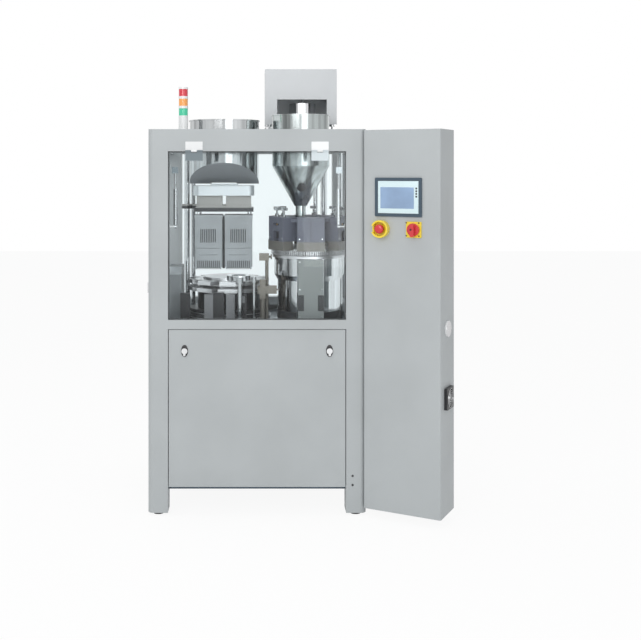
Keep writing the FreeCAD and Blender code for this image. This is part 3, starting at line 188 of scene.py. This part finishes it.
def banded(name, limits, colours, axis="Z", smooth=0.12, rough=0.2, metallic=0.0, coat=0.6):
    """A finish whose colour changes at given places along one axis."""
    material = finish(name, colours[0], smooth, rough, metallic=metallic, coat=coat)
    tree = material.node_tree
    shader = tree.nodes["Principled BSDF"]
    place = tree.nodes.new("ShaderNodeTexCoord")
    split = tree.nodes.new("ShaderNodeSeparateXYZ")
    tree.links.new(place.outputs["Object"], split.inputs[0])
    colour = None
    for limit, upper in zip(limits, colours[1:]):
        above = tree.nodes.new("ShaderNodeMath")
        above.operation = "GREATER_THAN"
        above.inputs[1].default_value = limit
        mix = tree.nodes.new("ShaderNodeMix")
        mix.data_type = "RGBA"
        tree.links.new(split.outputs[axis], above.inputs[0])
        tree.links.new(above.outputs[0], mix.inputs["Factor"])
        if colour:
            tree.links.new(colour, mix.inputs[6])
        else:
            mix.inputs[6].default_value = (*colours[0], 1)
        mix.inputs[7].default_value = (*upper, 1)
        colour = mix.outputs[2]
    tree.links.new(colour, shader.inputs["Base Color"])
    return material


# Noise scale for colour drift in tall upright streaks: painted reflection bands on polished metal.
PAINTED_REFLECTION_BANDS = (16, 16, 0.4)
LEVEL_BRUSHING = (6, 6, 900)
UPRIGHT_BRUSHING = (900, 900, 6)
powder_coat = finish("powder_coat", (0.44, 0.465, 0.472), 0.42, 0.55, grain_scale=(700, 700, 700), bump=0.12)
cover_coat = finish("cover_coat", (0.64, 0.66, 0.675), 0.38, 0.5, grain_scale=(700, 700, 700), bump=0.1)
# polished_steel, cone_steel and the bowl's finish drift strongly lighter and darker in upright bands:
# painted reflections.
polished_steel = finish("polished_steel", (0.74, 0.75, 0.76), 0.06, 0.14, metallic=1.0, drift=(0.45, 1.15),
                        drift_scale=PAINTED_REFLECTION_BANDS, grain_scale=LEVEL_BRUSHING, bump=0.03)
cone_steel = finish("cone_steel", (0.42, 0.455, 0.455), 0.1, 0.22, metallic=1.0, drift=(0.35, 1.35),
                    drift_scale=PAINTED_REFLECTION_BANDS, grain_scale=LEVEL_BRUSHING, bump=0.03)
brushed_steel = finish("brushed_steel", (0.62, 0.62, 0.63), 0.22, 0.42, metallic=1.0, drift=(0.85, 1.1),
                       grain_scale=LEVEL_BRUSHING, bump=0.15)
plate_steel = finish("plate_steel", (0.26, 0.275, 0.285), 0.3, 0.5, metallic=0.6, drift=(0.85, 1.12),
                     grain_scale=UPRIGHT_BRUSHING, bump=0.12)
table_steel = finish("table_steel", (0.42, 0.45, 0.48), 0.15, 0.3, metallic=1.0, drift=(0.8, 1.1), bump=0.05)
station_alloy = finish("station_alloy", (0.12, 0.13, 0.165), 0.4, 0.55, metallic=0.1, drift=(0.85, 1.25),
                       bump=0.1)
band_alloy = finish("band_alloy", (0.185, 0.18, 0.165), 0.35, 0.5, metallic=0.2, bump=0.1)
cover_grey = finish("cover_grey", (0.26, 0.285, 0.28), 0.35, 0.5, bump=0.1)
dark_steel = finish("dark_steel", (0.06, 0.062, 0.065), 0.25, 0.45, metallic=0.5, bump=0.1)
pan_coat = finish("pan_coat", (0.06, 0.1, 0.14), 0.3, 0.45, bump=0.1)
arm_bronze = finish("arm_bronze", (0.22, 0.205, 0.18), 0.3, 0.5, metallic=0.5, drift=(0.8, 1.2), bump=0.15)
black_plastic = finish("black_plastic", (0.018, 0.018, 0.02), 0.3, 0.5, bump=0.15)
bezel_plastic = finish("bezel_plastic", (0.045, 0.075, 0.105), 0.3, 0.42, bump=0.15)
face_film = finish("face_film", (0.68, 0.83, 0.86), 0.2, 0.3, coat=0.3, bump=0.04)
white_gloss = finish("white_gloss", (0.82, 0.83, 0.83), 0.15, 0.28, coat=0.4, bump=0.04)
red_gloss = finish("red_gloss", (0.62, 0.025, 0.035), 0.2, 0.32, coat=0.4, bump=0.06)
yellow_gloss = finish("yellow_gloss", (0.87, 0.66, 0.035), 0.2, 0.34, coat=0.3, bump=0.06)
blue_plastic = finish("blue_plastic", (0.02, 0.05, 0.5), 0.25, 0.4, bump=0.05)
brass = finish("brass", (0.72, 0.55, 0.3), 0.2, 0.35, metallic=1.0, bump=0.05)
rubber = finish("rubber", (0.025, 0.025, 0.027), 0.6, 0.8, bump=0.3)
display_glass = finish("display_glass", (0.25, 0.37, 0.56), 0.05, 0.1, coat=1.0, drift=(0.9, 1.1),
                       drift_scale=(9, 9, 9), bump=0.0)
window_glass = clear_pane("window_glass", (0.93, 0.97, 0.98))

lens_low, lens_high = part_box("tower_lenses")
LENS_STEP = (lens_high.z - lens_low.z) / 3
lens_plastic = banded("lens_plastic", [lens_low.z + LENS_STEP, lens_low.z + 2 * LENS_STEP],
                      [(0.045, 0.62, 0.36), (0.95, 0.38, 0.08), (0.68, 0.02, 0.045)])

head_low, head_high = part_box("feed_head")
# The feed head's lowest band is painted near-black: painted shadow of the undercut at its foot. Above it is
# a mid grey band, and the casing and neck are light.
SHADOW_BAND_HEIGHT, CASING_AND_NECK = 18 * MM, 54.7 * MM
SHADOW_BAND_TOP = head_low.z + SHADOW_BAND_HEIGHT
CASING_BOTTOM = head_high.z - CASING_AND_NECK
head_metal_and_shadow = banded("head_metal_and_shadow", [SHADOW_BAND_TOP, CASING_BOTTOM],
                    [(0.05, 0.052, 0.056), (0.3, 0.3, 0.29), (0.6, 0.64, 0.66)],
                    smooth=0.28, rough=0.45, metallic=0.45, coat=0.0)


def underside_shade_finish(name, upper, lower):
    """Polished metal whose faces that look down are painted an even, dull, non-metallic grey: painted shade
    on the undersides.
    """
    material = finish(name, upper, 0.07, 0.16, metallic=1.0, drift=(0.5, 1.15), drift_scale=PAINTED_REFLECTION_BANDS,
                      grain_scale=LEVEL_BRUSHING, bump=0.03)
    tree = material.node_tree
    shader = tree.nodes["Principled BSDF"]
    place = tree.nodes.new("ShaderNodeTexCoord")
    split = tree.nodes.new("ShaderNodeSeparateXYZ")
    down = tree.nodes.new("ShaderNodeMath")
    down.operation = "LESS_THAN"
    down.inputs[1].default_value = -0.2
    # Faces that look down take the lower colour and lose their metal: painted shade.
    colour = tree.nodes.new("ShaderNodeMix")
    colour.data_type = "RGBA"
    colour.inputs[7].default_value = (*lower, 1)
    metal = tree.nodes.new("ShaderNodeMath")
    metal.operation = "SUBTRACT"
    metal.inputs[0].default_value = 1.0
    old = shader.inputs["Base Color"].links[0].from_socket
    tree.links.new(place.outputs["Normal"], split.inputs[0])
    tree.links.new(split.outputs["Z"], down.inputs[0])
    tree.links.new(down.outputs[0], colour.inputs["Factor"])
    tree.links.new(old, colour.inputs[6])
    tree.links.new(colour.outputs[2], shader.inputs["Base Color"])
    tree.links.new(down.outputs[0], metal.inputs[1])
    tree.links.new(metal.outputs[0], shader.inputs["Metallic"])
    return material


bowl_steel_and_shade = underside_shade_finish("bowl_steel_and_shade", (0.58, 0.6, 0.61), (0.3, 0.32, 0.335))

LABEL_DROP, LABEL_HEIGHT = 43 * MM, 28 * MM
turret_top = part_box("turret_hub")[1].z
label_grey = (0.2, 0.205, 0.215)
sensor_finish = banded("sensor_finish", [turret_top - LABEL_DROP, turret_top - LABEL_DROP + LABEL_HEIGHT],
                       [label_grey, (0.8, 0.81, 0.82), label_grey], smooth=0.3, rough=0.45, coat=0.1)
clamp_low, clamp_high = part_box("window_clamps")
clamp_finish = banded("clamp_finish", [(clamp_low.x + clamp_high.x) / 2],
                      [(0.17, 0.21, 0.23), (0.6, 0.67, 0.7)], axis="X", smooth=0.15, rough=0.3, coat=0.3)
knob_steel = finish("knob_steel", (0.33, 0.34, 0.35), 0.1, 0.25, metallic=1.0, drift=(0.5, 1.4),
                    drift_scale=(90, 90, 90), bump=0.05)

NODE_FINISH = {
    powder_coat: "corner_posts cross_beams base_panels lower_door cabinet_shell cabinet_rear_door",
    cover_coat: "feeder_cover",
    bowl_steel_and_shade: "capsule_bowl",
    knob_steel: "adjusting_knobs",
    sensor_finish: "sensor_plates",
    clamp_finish: "window_clamps",
    head_metal_and_shadow: "feed_head",
    polished_steel: "dosing_pedestal guide_columns stop_posts separator_and_clamps strut_cylinders "
                    "stirrer_motor door_latch_left door_latch_right strut_rods",
    cone_steel: "powder_hopper",
    brushed_steel: "turret_hub upper_dies lower_dies dosing_disc tamping_rods stirrer_auger "
                   "cabinet_hinge_pins left_window_fittings cabinet_fittings main_camshaft",
    plate_steel: "sorting_magazine vacuum_housing",
    table_steel: "work_table",
    station_alloy: "tamping_station_ring",
    band_alloy: "station_bands",
    cover_grey: "pedestal_cover",
    dark_steel: "turret_housing pedestal_trim drive_units hopper_sight_glass",
    pan_coat: "bottom_pan",
    arm_bronze: "clamp_arms",
    black_plastic: "station_blocks fan_frame fan_rotor",
    bezel_plastic: "screen_housing",
    white_gloss: "tower_body electrical_rack fixed_hinge_leaves",
    red_gloss: "main_switch_knob",
    yellow_gloss: "stop_guard_and_switch_plate",
    rubber: "levelling_feet",
    window_glass: "front_window left_window fixed_glazing",
    lens_plastic: "tower_lenses",
}
for node_material, names in NODE_FINISH.items():
    for node_name in names.split():
        slots = frame["nodes"][node_name].data.materials
        slots.clear()
        slots.append(node_material)


# ---- mesh makers --------------------------------------------------------------
def middle(node):
    """The middle of a node's box."""
    low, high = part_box(node)
    return (low + high) / 2


def add_box(bm, centre, size, turn=Matrix.Identity(3), bevel=0.0):
    """A box about its centre, turned and with its edges rounded."""
    made = bmesh.ops.create_cube(bm, size=1.0)
    for vertex in made["verts"]:
        vertex.co = centre + turn @ Vector(a * b for a, b in zip(vertex.co, size))
    if bevel:
        edges = {edge for vertex in made["verts"] for edge in vertex.link_edges}
        bmesh.ops.bevel(bm, geom=list(edges), offset=bevel, segments=3, affect="EDGES", profile=0.6)


def add_lathe(bm, profile, centre, axis, segments=64):
    """A closed solid turned about an axis from (radius, distance) points that start and end on it."""
    turn = axis.to_track_quat("Z", "X").to_matrix()
    rings = []
    for radius, distance in profile:
        if radius < 1e-6:
            rings.append([bm.verts.new(centre + turn @ Vector((0, 0, distance)))])
            continue
        angles = [2 * math.pi * step / segments for step in range(segments)]
        rings.append([
            bm.verts.new(centre + turn @ Vector((radius * math.cos(a), radius * math.sin(a), distance)))
            for a in angles])
    for low, high in zip(rings, rings[1:]):
        for step in range(segments):
            after = (step + 1) % segments
            if len(low) == 1:
                bm.faces.new((low[0], high[after], high[step]))
            elif len(high) == 1:
                bm.faces.new((low[step], low[after], high[0]))
            else:
                bm.faces.new((low[step], low[after], high[after], high[step]))


def add_ring(bm, radius, thickness, centre, axis, segments=72, around=10):
    """A round-section ring."""
    turn = axis.to_track_quat("Z", "X").to_matrix()
    rows = []
    for step in range(segments):
        a = 2 * math.pi * step / segments
        row = []
        for part in range(around):
            b = 2 * math.pi * part / around
            reach = radius + thickness * math.cos(b)
            row.append(bm.verts.new(
                centre + turn @ Vector((reach * math.cos(a), reach * math.sin(a), thickness * math.sin(b)))))
        rows.append(row)
    for step in range(segments):
        row, following = rows[step], rows[(step + 1) % segments]
        for part in range(around):
            after = (part + 1) % around
            bm.faces.new((row[part], following[part], following[after], row[after]))


def screw_profile(radius, height):
    """Domed screw head with a socket."""
    return [(0, 0), (radius, 0), (radius, height * 0.5), (radius * 0.85, height * 0.85),
            (radius * 0.55, height), (radius * 0.5, height), (radius * 0.45, height * 0.45),
            (0, height * 0.45)]


def piece(name, build, material, body, smooth_angle=35):
    """Makes one mesh object from build(bm), and ties it to a body and a finish slot."""
    bm = bmesh.new()
    build(bm)
    bmesh.ops.recalc_face_normals(bm, faces=bm.faces)
    mesh = bpy.data.meshes.new(name)
    bm.to_mesh(mesh)
    bm.free()
    mesh.materials.append(material)
    mesh.shade_smooth()
    mesh.set_sharp_from_angle(angle=math.radians(smooth_angle))
    made = bpy.data.objects.new(name, mesh)
    bpy.context.scene.collection.objects.link(made)
    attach(made, body)
    return made


def islands(node):
    """Boxes of the separate solids of a node, sorted by their middles."""
    vertices = [v.co for v in frame["nodes"][node].data.vertices]
    place, root = {}, []
    index = []
    for co in vertices:
        key = tuple(round(c, 5) for c in co)
        if key not in place:
            place[key] = len(root)
            root.append(len(root))
        index.append(place[key])

    def find(item):
        while root[item] != item:
            root[item] = root[root[item]]
            item = root[item]
        return item

    for edge in frame["nodes"][node].data.edges:
        a, b = (find(index[v]) for v in edge.vertices)
        root[a] = b
    groups = {}
    for co, item in zip(vertices, index):
        groups.setdefault(find(item), []).append(co)
    boxes = [(Vector(min(co[i] for co in g) for i in range(3)),
              Vector(max(co[i] for co in g) for i in range(3))) for g in groups.values()]
    return sorted(boxes, key=lambda b: tuple(b[0] + b[1]))


# ---- control cabinet ------------------------------------------------------------
OUT_OF_CABINET = -INTO_CABINET
CABINET_TURN = Matrix((ALONG_CABINET, INTO_CABINET, Z)).transposed()


def on_cabinet(origin, along, out, up):
    """A point given along the cabinet's face, out of it and up, in millimetres."""
    return origin + (ALONG_CABINET * along + OUT_OF_CABINET * out + Z * up) * MM


def make_touch_panel():
    """Pale face plate with a blue display and a column of keys."""
    glass = middle("screen_glass")

    def face(bm):
        add_box(bm, glass, Vector((183.4, 2.4, 139.4)) * MM, CABINET_TURN, 0.8 * MM)

    def display(bm):
        add_box(bm, on_cabinet(glass, -4.5, 0.9, -3), Vector((152, 1.6, 92)) * MM, CABINET_TURN, 0.5 * MM)

    def keys(bm):
        for row in range(4):
            add_box(bm, on_cabinet(glass, 82, 1.1, 38 - row * 11.5), Vector((7.5, 1.2, 7.5)) * MM,
                    CABINET_TURN, 0.5 * MM)

    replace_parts(piece("screen_face", face, face_film, "cabinet"), "screen_glass")
    piece("screen_display", display, display_glass, "cabinet")
    piece("screen_keys", keys, black_plastic, "cabinet")


def make_stop_button():
    """Mushroom head with a waist and a crowned top, on its stem."""
    low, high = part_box("stop_button")
    pivot = middle("stop_button")
    reach = (high.z - low.z) / 2
    half = 30 * MM

    def mushroom(bm):
        profile = [(0, -half), (11 * MM, -half), (11 * MM, 13 * MM), (15 * MM, 14 * MM),
                   (reach, 15.5 * MM), (reach, 22 * MM), (reach * 0.96, 25.5 * MM),
                   (reach * 0.8, 28.2 * MM), (reach * 0.45, 29.6 * MM), (0, half)]
        add_lathe(bm, profile, pivot, OUT_OF_CABINET)

    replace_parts(piece("stop_mushroom", mushroom, red_gloss, "stop_button", 50), "stop_button")


def make_switch_details():
    """Boss on the main switch, and the four screws of its plate."""
    knob = middle("main_switch_knob")
    front = 31 * MM

    def boss(bm):
        spot = knob + OUT_OF_CABINET * front + Z * 3 * MM
        add_lathe(bm, screw_profile(4 * MM, 2 * MM), spot, OUT_OF_CABINET, 24)

    def screws(bm):
        for along, up in ((-28, -28), (28, 28), (28, -28), (-28, 28)):
            spot = on_cabinet(knob, along, 4, up + 3)
            add_lathe(bm, screw_profile(3 * MM, 1.6 * MM), spot, OUT_OF_CABINET, 20)

    piece("switch_boss", boss, black_plastic, "main_switch")
    piece("switch_plate_screws", screws, dark_steel, "cabinet")


def make_fan_guard():
    """Wire finger guard over the side fan."""
    low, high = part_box("fan_frame")
    centre = (low + high) / 2
    reach = (high.z - low.z) / 2
    front = centre + ALONG_CABINET * 8.6 * MM

    def guard(bm):
        for part in range(5):
            add_ring(bm, reach * (0.2 + 0.165 * part), 0.9 * MM, front, ALONG_CABINET, 48, 8)
        for spoke in range(4):
            turn = Matrix.Rotation(math.radians(45 + 90 * spoke), 3, ALONG_CABINET) @ CABINET_TURN
            spot = front + turn @ Vector((0, 0, reach * 0.58))
            add_box(bm, spot, Vector((1.4, 1.8, reach * 700)) * MM, turn, 0.4 * MM)

    piece("fan_guard", guard, polished_steel, "cabinet")


def make_vent_cap():
    """Round vent with stepped rings, over the seat on the cabinet's side."""
    seats = [b for b in islands("cabinet_fittings") if b[1].x > middle("fan_frame").x - 0.06]
    low, high = seats[-1]
    centre = (low + high) / 2
    reach = (high.z - low.z) / 2 + 0.4 * MM

    def cap(bm):
        profile = [(0, -4 * MM), (reach, -4 * MM), (reach, 2 * MM), (reach * 0.92, 4.4 * MM)]
        for step in range(4):
            outer = reach * (0.82 - step * 0.18)
            profile += [(outer, 4.9 * MM), (outer - 1 * MM, 2.6 * MM), (outer - 3 * MM, 2.6 * MM),
                        (outer - 4 * MM, 4.9 * MM)]
        profile.append((0, 4.9 * MM))
        add_lathe(bm, profile, centre, ALONG_CABINET)

    piece("side_vent_cap", cap, white_gloss, "cabinet")


# ---- frame and doors ----------------------------------------------------------
OVAL_STRETCH = 1.75
PLATE_SEAT = 0.1 * MM


def make_latch_plates():
    """Black oval plates that the two door latches turn on."""
    door_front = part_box("lower_door")[0].y
    for side in ("left", "right"):
        low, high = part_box(f"door_latch_{side}")
        x = (low.x + high.x) / 2
        z = JOINTS[f"latch_{side}_turn"]["pos_m"][2]

        def oval(bm):
            profile = [(0, 0), (15 * MM, 0), (15 * MM, 1.6 * MM), (14 * MM, 2.4 * MM), (0, 2.4 * MM)]
            start = len(bm.verts)
            add_lathe(bm, profile, Vector((x, door_front + PLATE_SEAT, z)), -Y, 48)
            bm.verts.ensure_lookup_table()
            for vertex in bm.verts[start:]:
                vertex.co.z = z + (vertex.co.z - z) * OVAL_STRETCH

        piece(f"latch_plate_{side}", oval, black_plastic, "lower_door")


def make_window_seal():
    """Dark seal round the front window."""
    low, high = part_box("front_window")
    width, depth = 4 * MM, 2.4 * MM

    def seal(bm):
        y = high.y + depth / 2 + 0.1 * MM
        x, z = (low.x + high.x) / 2, (low.z + high.z) / 2
        for edge in (low.z + width / 2, high.z - width / 2):
            size = Vector((high.x - low.x, depth, width))
            add_box(bm, Vector((x, y, edge)), size, bevel=0.5 * MM)
        for edge in (low.x + width / 2, high.x - width / 2):
            size = Vector((width, depth, high.z - low.z - 2 * width))
            add_box(bm, Vector((edge, y, z)), size, bevel=0.5 * MM)

    piece("window_seal", seal, rubber, "window")


def plate_screws(name, node, body, width_range, radius):
    """Two screws on each plate of a node that faces the operator and has a width in the given range."""
    plates = [b for b in islands(node)
              if width_range[0] < b[1].x - b[0].x < width_range[1] and b[1].y - b[0].y < 0.02]

    def screws(bm):
        for low, high in plates:
            face_y = high.y - 3 * MM if body == "machine" else low.y + 5.4 * MM
            z = high.z - 0.25 * (high.z - low.z) if body == "machine" else low.z + 0.25 * (high.z - low.z)
            for share in (0.2, 0.8):
                x = low.x + share * (high.x - low.x)
                add_lathe(bm, screw_profile(radius, 1.8 * MM), Vector((x, face_y, z)), -Y, 20)

    if plates:
        piece(name, screws, polished_steel, body)


def make_post_screws():
    """Two dark screws low on the right front post."""
    low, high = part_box("corner_posts")
    post_width = 88 * MM

    def screws(bm):
        for z in (135 * MM, 175 * MM):
            spot = Vector((high.x - post_width * 0.68, low.y, z))
            add_lathe(bm, screw_profile(5 * MM, 2.5 * MM), spot, -Y, 24)

    piece("post_screws", screws, dark_steel, "machine")


# ---- working chamber ------------------------------------------------------------
def make_magazine_slot_shade():
    """Black sheets of painted shade behind the slots of both magazine blocks, and a black sheet in the gap
    between the blocks.
    """
    low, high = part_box("sorting_magazine")
    middle_x = (low.x + high.x) / 2
    front = low.y + 14.6 * MM
    gap, block = 12 * MM, (high.x - low.x - 12 * MM) / 2

    def backs(bm):
        for side in (-1, 1):
            x = middle_x + side * (gap + block) / 2
            # The sheets behind the slots are painted shade in the slot recesses.
            windows = Vector((x - 2 * MM, front + 0.6 * MM, low.z + 155.5 * MM))
            add_box(bm, windows, Vector((82, 1.2, 67)) * MM)
            add_box(bm, Vector((x, front + 2.6 * MM, low.z + 22 * MM)), Vector((118, 1.2, 38)) * MM)
        add_box(bm, Vector((middle_x, low.y + 20 * MM, (low.z + high.z) / 2)),
                Vector((gap + 0.4 * MM, 2 * MM, high.z - low.z - 6 * MM)))

    piece("magazine_slot_shade_and_gap", backs, black_plastic, "magazine")


STATIONS = 6
HEAD_RADIUS = 182 * MM
RECESS_DEPTH = 17 * MM
NEAR_MIDDLE = 40 * MM
SEAM_RISE = 0.4 * MM


def make_station_screws():
    """Black sheets of painted shade at the recess backs, brass adjusters and cap screws of the tamping
    stations.
    """
    centre = Vector(JOINTS["dosing_disc_index"]["pos_m"])
    low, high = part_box("tamping_station_ring")

    def around(bm, places, radius, height, rise):
        for station in range(STATIONS):
            for offset, inset in places:
                angle = math.radians(-90 + station * 60)
                outward = Vector((math.cos(angle), math.sin(angle), 0))
                side = Z.cross(outward)
                if station == 0 and abs(offset) < NEAR_MIDDLE:
                    continue
                spot = centre + outward * (HEAD_RADIUS - inset) + side * offset
                spot.z = rise
                add_lathe(bm, screw_profile(radius, height), spot, outward, 20)

    def recesses(bm):
        # Station 0 faces the operator, and has a seam strip in place of the painted shade sheets at the
        # recess backs.
        for station in range(STATIONS):
            angle = math.radians(-90 + station * 60)
            outward = Vector((math.cos(angle), math.sin(angle), 0))
            turn = Matrix.Rotation(math.radians(station * 60), 3, "Z")
            reach = HEAD_RADIUS - RECESS_DEPTH if station else HEAD_RADIUS + SEAM_RISE
            sizes = [(44, 20, 30), (44, 34, 82)] if station else [(1.2, 104, 58)]
            for width, height, drop in sizes:
                spot = centre + outward * reach
                spot.z = high.z - drop * MM
                add_box(bm, spot, Vector((width, 1.2, height)) * MM, turn, 0.3 * MM)

    def adjusters(bm):
        around(bm, [(-14 * MM, 18 * MM), (14 * MM, 18 * MM)], 6 * MM, 5 * MM, high.z - 34 * MM)

    def cap_screws(bm):
        around(bm, [(-52 * MM, 0.3 * MM), (52 * MM, 0.3 * MM)], 4 * MM, 3 * MM, low.z + 14 * MM)

    piece("station_recess_shade_and_seam", recesses, black_plastic, "machine")
    piece("station_adjusters", adjusters, brass, "machine")
    piece("station_cap_screws", cap_screws, polished_steel, "machine")


TEETH = 110
TEETH_RADIUS = 174 * MM


def make_guide_teeth():
    """Upright guide teeth under the station bands, all round the dosing disc."""
    centre = Vector(JOINTS["dosing_disc_index"]["pos_m"])
    band_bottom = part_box("station_bands")[0].z
    top, bottom = band_bottom - 0.3 * MM, centre.z + 1.5 * MM

    def teeth(bm):
        for step in range(TEETH):
            turn = Matrix.Rotation(2 * math.pi * step / TEETH, 3, "Z")
            spot = centre + turn @ Vector((0, -TEETH_RADIUS, 0))
            spot.z = (top + bottom) / 2
            add_box(bm, spot, Vector((4.4 * MM, 6 * MM, top - bottom)), turn, 0.4 * MM)

    piece("guide_teeth", teeth, brushed_steel, "machine")


def make_pedestal_rings():
    """Bright beads round the base of the turret."""
    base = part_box("dosing_pedestal")[0].z
    turret = Vector(JOINTS["turret_index"]["pos_m"])

    def beads(bm):
        add_ring(bm, 186.5 * MM, 1.5 * MM, Vector((turret.x, turret.y, base + 46 * MM)), Z)
        add_ring(bm, 200.5 * MM, 1.5 * MM, Vector((turret.x, turret.y, base + 27 * MM)), Z)

    piece("housing_beads", beads, brushed_steel, "machine")


def make_stop_post_ring():
    """Blue ring near the foot of the thinner stop post."""
    post = min(islands("stop_posts"), key=lambda b: b[1].x - b[0].x)
    centre = (post[0] + post[1]) / 2

    def collar(bm):
        add_ring(bm, 12.8 * MM, 1.8 * MM, Vector((centre.x, centre.y, post[0].z + 34 * MM)), Z, 40, 8)

    piece("stop_post_ring", collar, blue_plastic, "machine")


def make_cover_screws():
    """Small screws down the edges of the pedestal cover."""
    low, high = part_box("pedestal_cover")

    def screws(bm):
        for x in (low.x + 8 * MM, high.x - 8 * MM):
            for share in (0.04, 0.5, 0.96):
                z = low.z + share * (high.z - low.z)
                add_lathe(bm, screw_profile(3.2 * MM, 1.8 * MM), Vector((x, low.y, z)), -Y, 20)

    piece("pedestal_cover_screws", screws, polished_steel, "machine")


make_touch_panel()
make_stop_button()
make_switch_details()
make_fan_guard()
make_vent_cap()
make_latch_plates()
make_window_seal()
# Only plates in this range of widths take screws. None is in it, so neither call makes a piece.
PLATE_WIDTHS = (0.08, 0.11)
plate_screws("hinge_plate_screws", "fixed_hinge_leaves", "machine", PLATE_WIDTHS, 3.6 * MM)
plate_screws("window_clamp_screws", "window_clamps", "window", PLATE_WIDTHS, 3.6 * MM)
make_post_screws()
make_magazine_slot_shade()
make_station_screws()
make_guide_teeth()
make_pedestal_rings()
make_stop_post_ring()
make_cover_screws()


# ---- studio -----------------------------------------------------------------------
FLOOR_GLOW_SHARE = 0.92
AMBIENT_STRENGTH = 0.62
CAMERA_DISTANCE, EYE_HEIGHT = 4.4, 1.52


def make_floor():
    """Pale floor that reads as white, and still takes a soft shadow."""
    mesh = bpy.data.meshes.new("floor")
    reach = 14.0
    mesh.from_pydata([(-reach, -reach, 0), (reach, -reach, 0), (reach, reach, 0), (-reach, reach, 0)], [],
                     [(0, 1, 2, 3)])
    floor = bpy.data.objects.new("floor", mesh)
    bpy.context.scene.collection.objects.link(floor)
    material = bpy.data.materials.new("pale_floor")
    material.use_nodes = True
    tree = material.node_tree
    shader = tree.nodes["Principled BSDF"]
    shader.inputs["Base Color"].default_value = (0.86, 0.86, 0.86, 1)
    shader.inputs["Roughness"].default_value = 0.9
    glow = tree.nodes.new("ShaderNodeEmission")
    glow.inputs["Color"].default_value = (1, 1, 1, 1)
    ray = tree.nodes.new("ShaderNodeLightPath")
    seen = add_rays(tree, ray)
    share = tree.nodes.new("ShaderNodeMath")
    share.operation = "MULTIPLY"
    share.inputs[1].default_value = FLOOR_GLOW_SHARE
    mix = tree.nodes.new("ShaderNodeMixShader")
    tree.links.new(seen, share.inputs[0])
    tree.links.new(share.outputs[0], mix.inputs["Fac"])
    tree.links.new(shader.outputs[0], mix.inputs[1])
    tree.links.new(glow.outputs[0], mix.inputs[2])
    tree.links.new(mix.outputs[0], tree.nodes["Material Output"].inputs["Surface"])
    mesh.materials.append(material)


def add_rays(tree, ray):
    """1 for rays from the camera, or by way of glass or a mirror-like surface."""
    total = ray.outputs["Is Camera Ray"]
    for kind in ("Is Glossy Ray", "Is Transmission Ray"):
        add = tree.nodes.new("ShaderNodeMath")
        add.operation = "ADD"
        add.use_clamp = True
        tree.links.new(total, add.inputs[0])
        tree.links.new(ray.outputs[kind], add.inputs[1])
        total = add.outputs[0]
    return total


def make_world():
    """Even grey light, with a white background where it is seen."""
    world = bpy.data.worlds.new("studio")
    bpy.context.scene.world = world
    world.use_nodes = True
    tree = world.node_tree
    light = tree.nodes["Background"]
    light.inputs["Color"].default_value = (0.97, 0.985, 1.0, 1)
    light.inputs["Strength"].default_value = AMBIENT_STRENGTH
    white = tree.nodes.new("ShaderNodeBackground")
    white.inputs["Color"].default_value = (1, 1, 1, 1)
    white.inputs["Strength"].default_value = 1.0
    mix = tree.nodes.new("ShaderNodeMixShader")
    ray = tree.nodes.new("ShaderNodeLightPath")
    tree.links.new(add_rays(tree, ray), mix.inputs["Fac"])
    tree.links.new(light.outputs[0], mix.inputs[1])
    tree.links.new(white.outputs[0], mix.inputs[2])
    tree.links.new(mix.outputs[0], tree.nodes["World Output"].inputs["Surface"])


def make_lamp(name, place, target, size, power):
    """A rectangular soft lamp aimed at a point."""
    data = bpy.data.lights.new(name, "AREA")
    data.shape = "RECTANGLE"
    data.size, data.size_y = size
    data.energy = power
    lamp = bpy.data.objects.new(name, data)
    lamp.location = place
    lamp.rotation_euler = (Vector(target) - Vector(place)).to_track_quat("-Z", "Y").to_euler()
    bpy.context.scene.collection.objects.link(lamp)


def make_camera():
    """Level camera at eye height in front of the frame's middle line."""
    low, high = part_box("cross_beams")
    data = bpy.data.cameras.new("camera")
    data.sensor_width = 36.0
    data.lens = 56.2
    data.shift_x = 0.099
    data.shift_y = -0.234
    camera = bpy.data.objects.new("camera", data)
    camera.location = ((low.x + high.x) / 2, low.y - CAMERA_DISTANCE, EYE_HEIGHT)
    camera.rotation_euler = (math.radians(90), 0, 0)
    bpy.context.scene.collection.objects.link(camera)
    bpy.context.scene.camera = camera


make_floor()
make_world()
make_lamp("front_key", (-1.8, -4.6, 3.2), (0, 0, 1.0), (2.4, 2.4), 75)
make_lamp("front_fill", (1.2, -5.0, 1.6), (0, 0, 0.9), (2.0, 2.0), 28)
make_lamp("top_soft", (-0.4, 0.0, 4.2), (0, 0, 0.9), (2.6, 2.6), 40)
make_camera()
bpy.context.scene.view_settings.view_transform = "Standard"
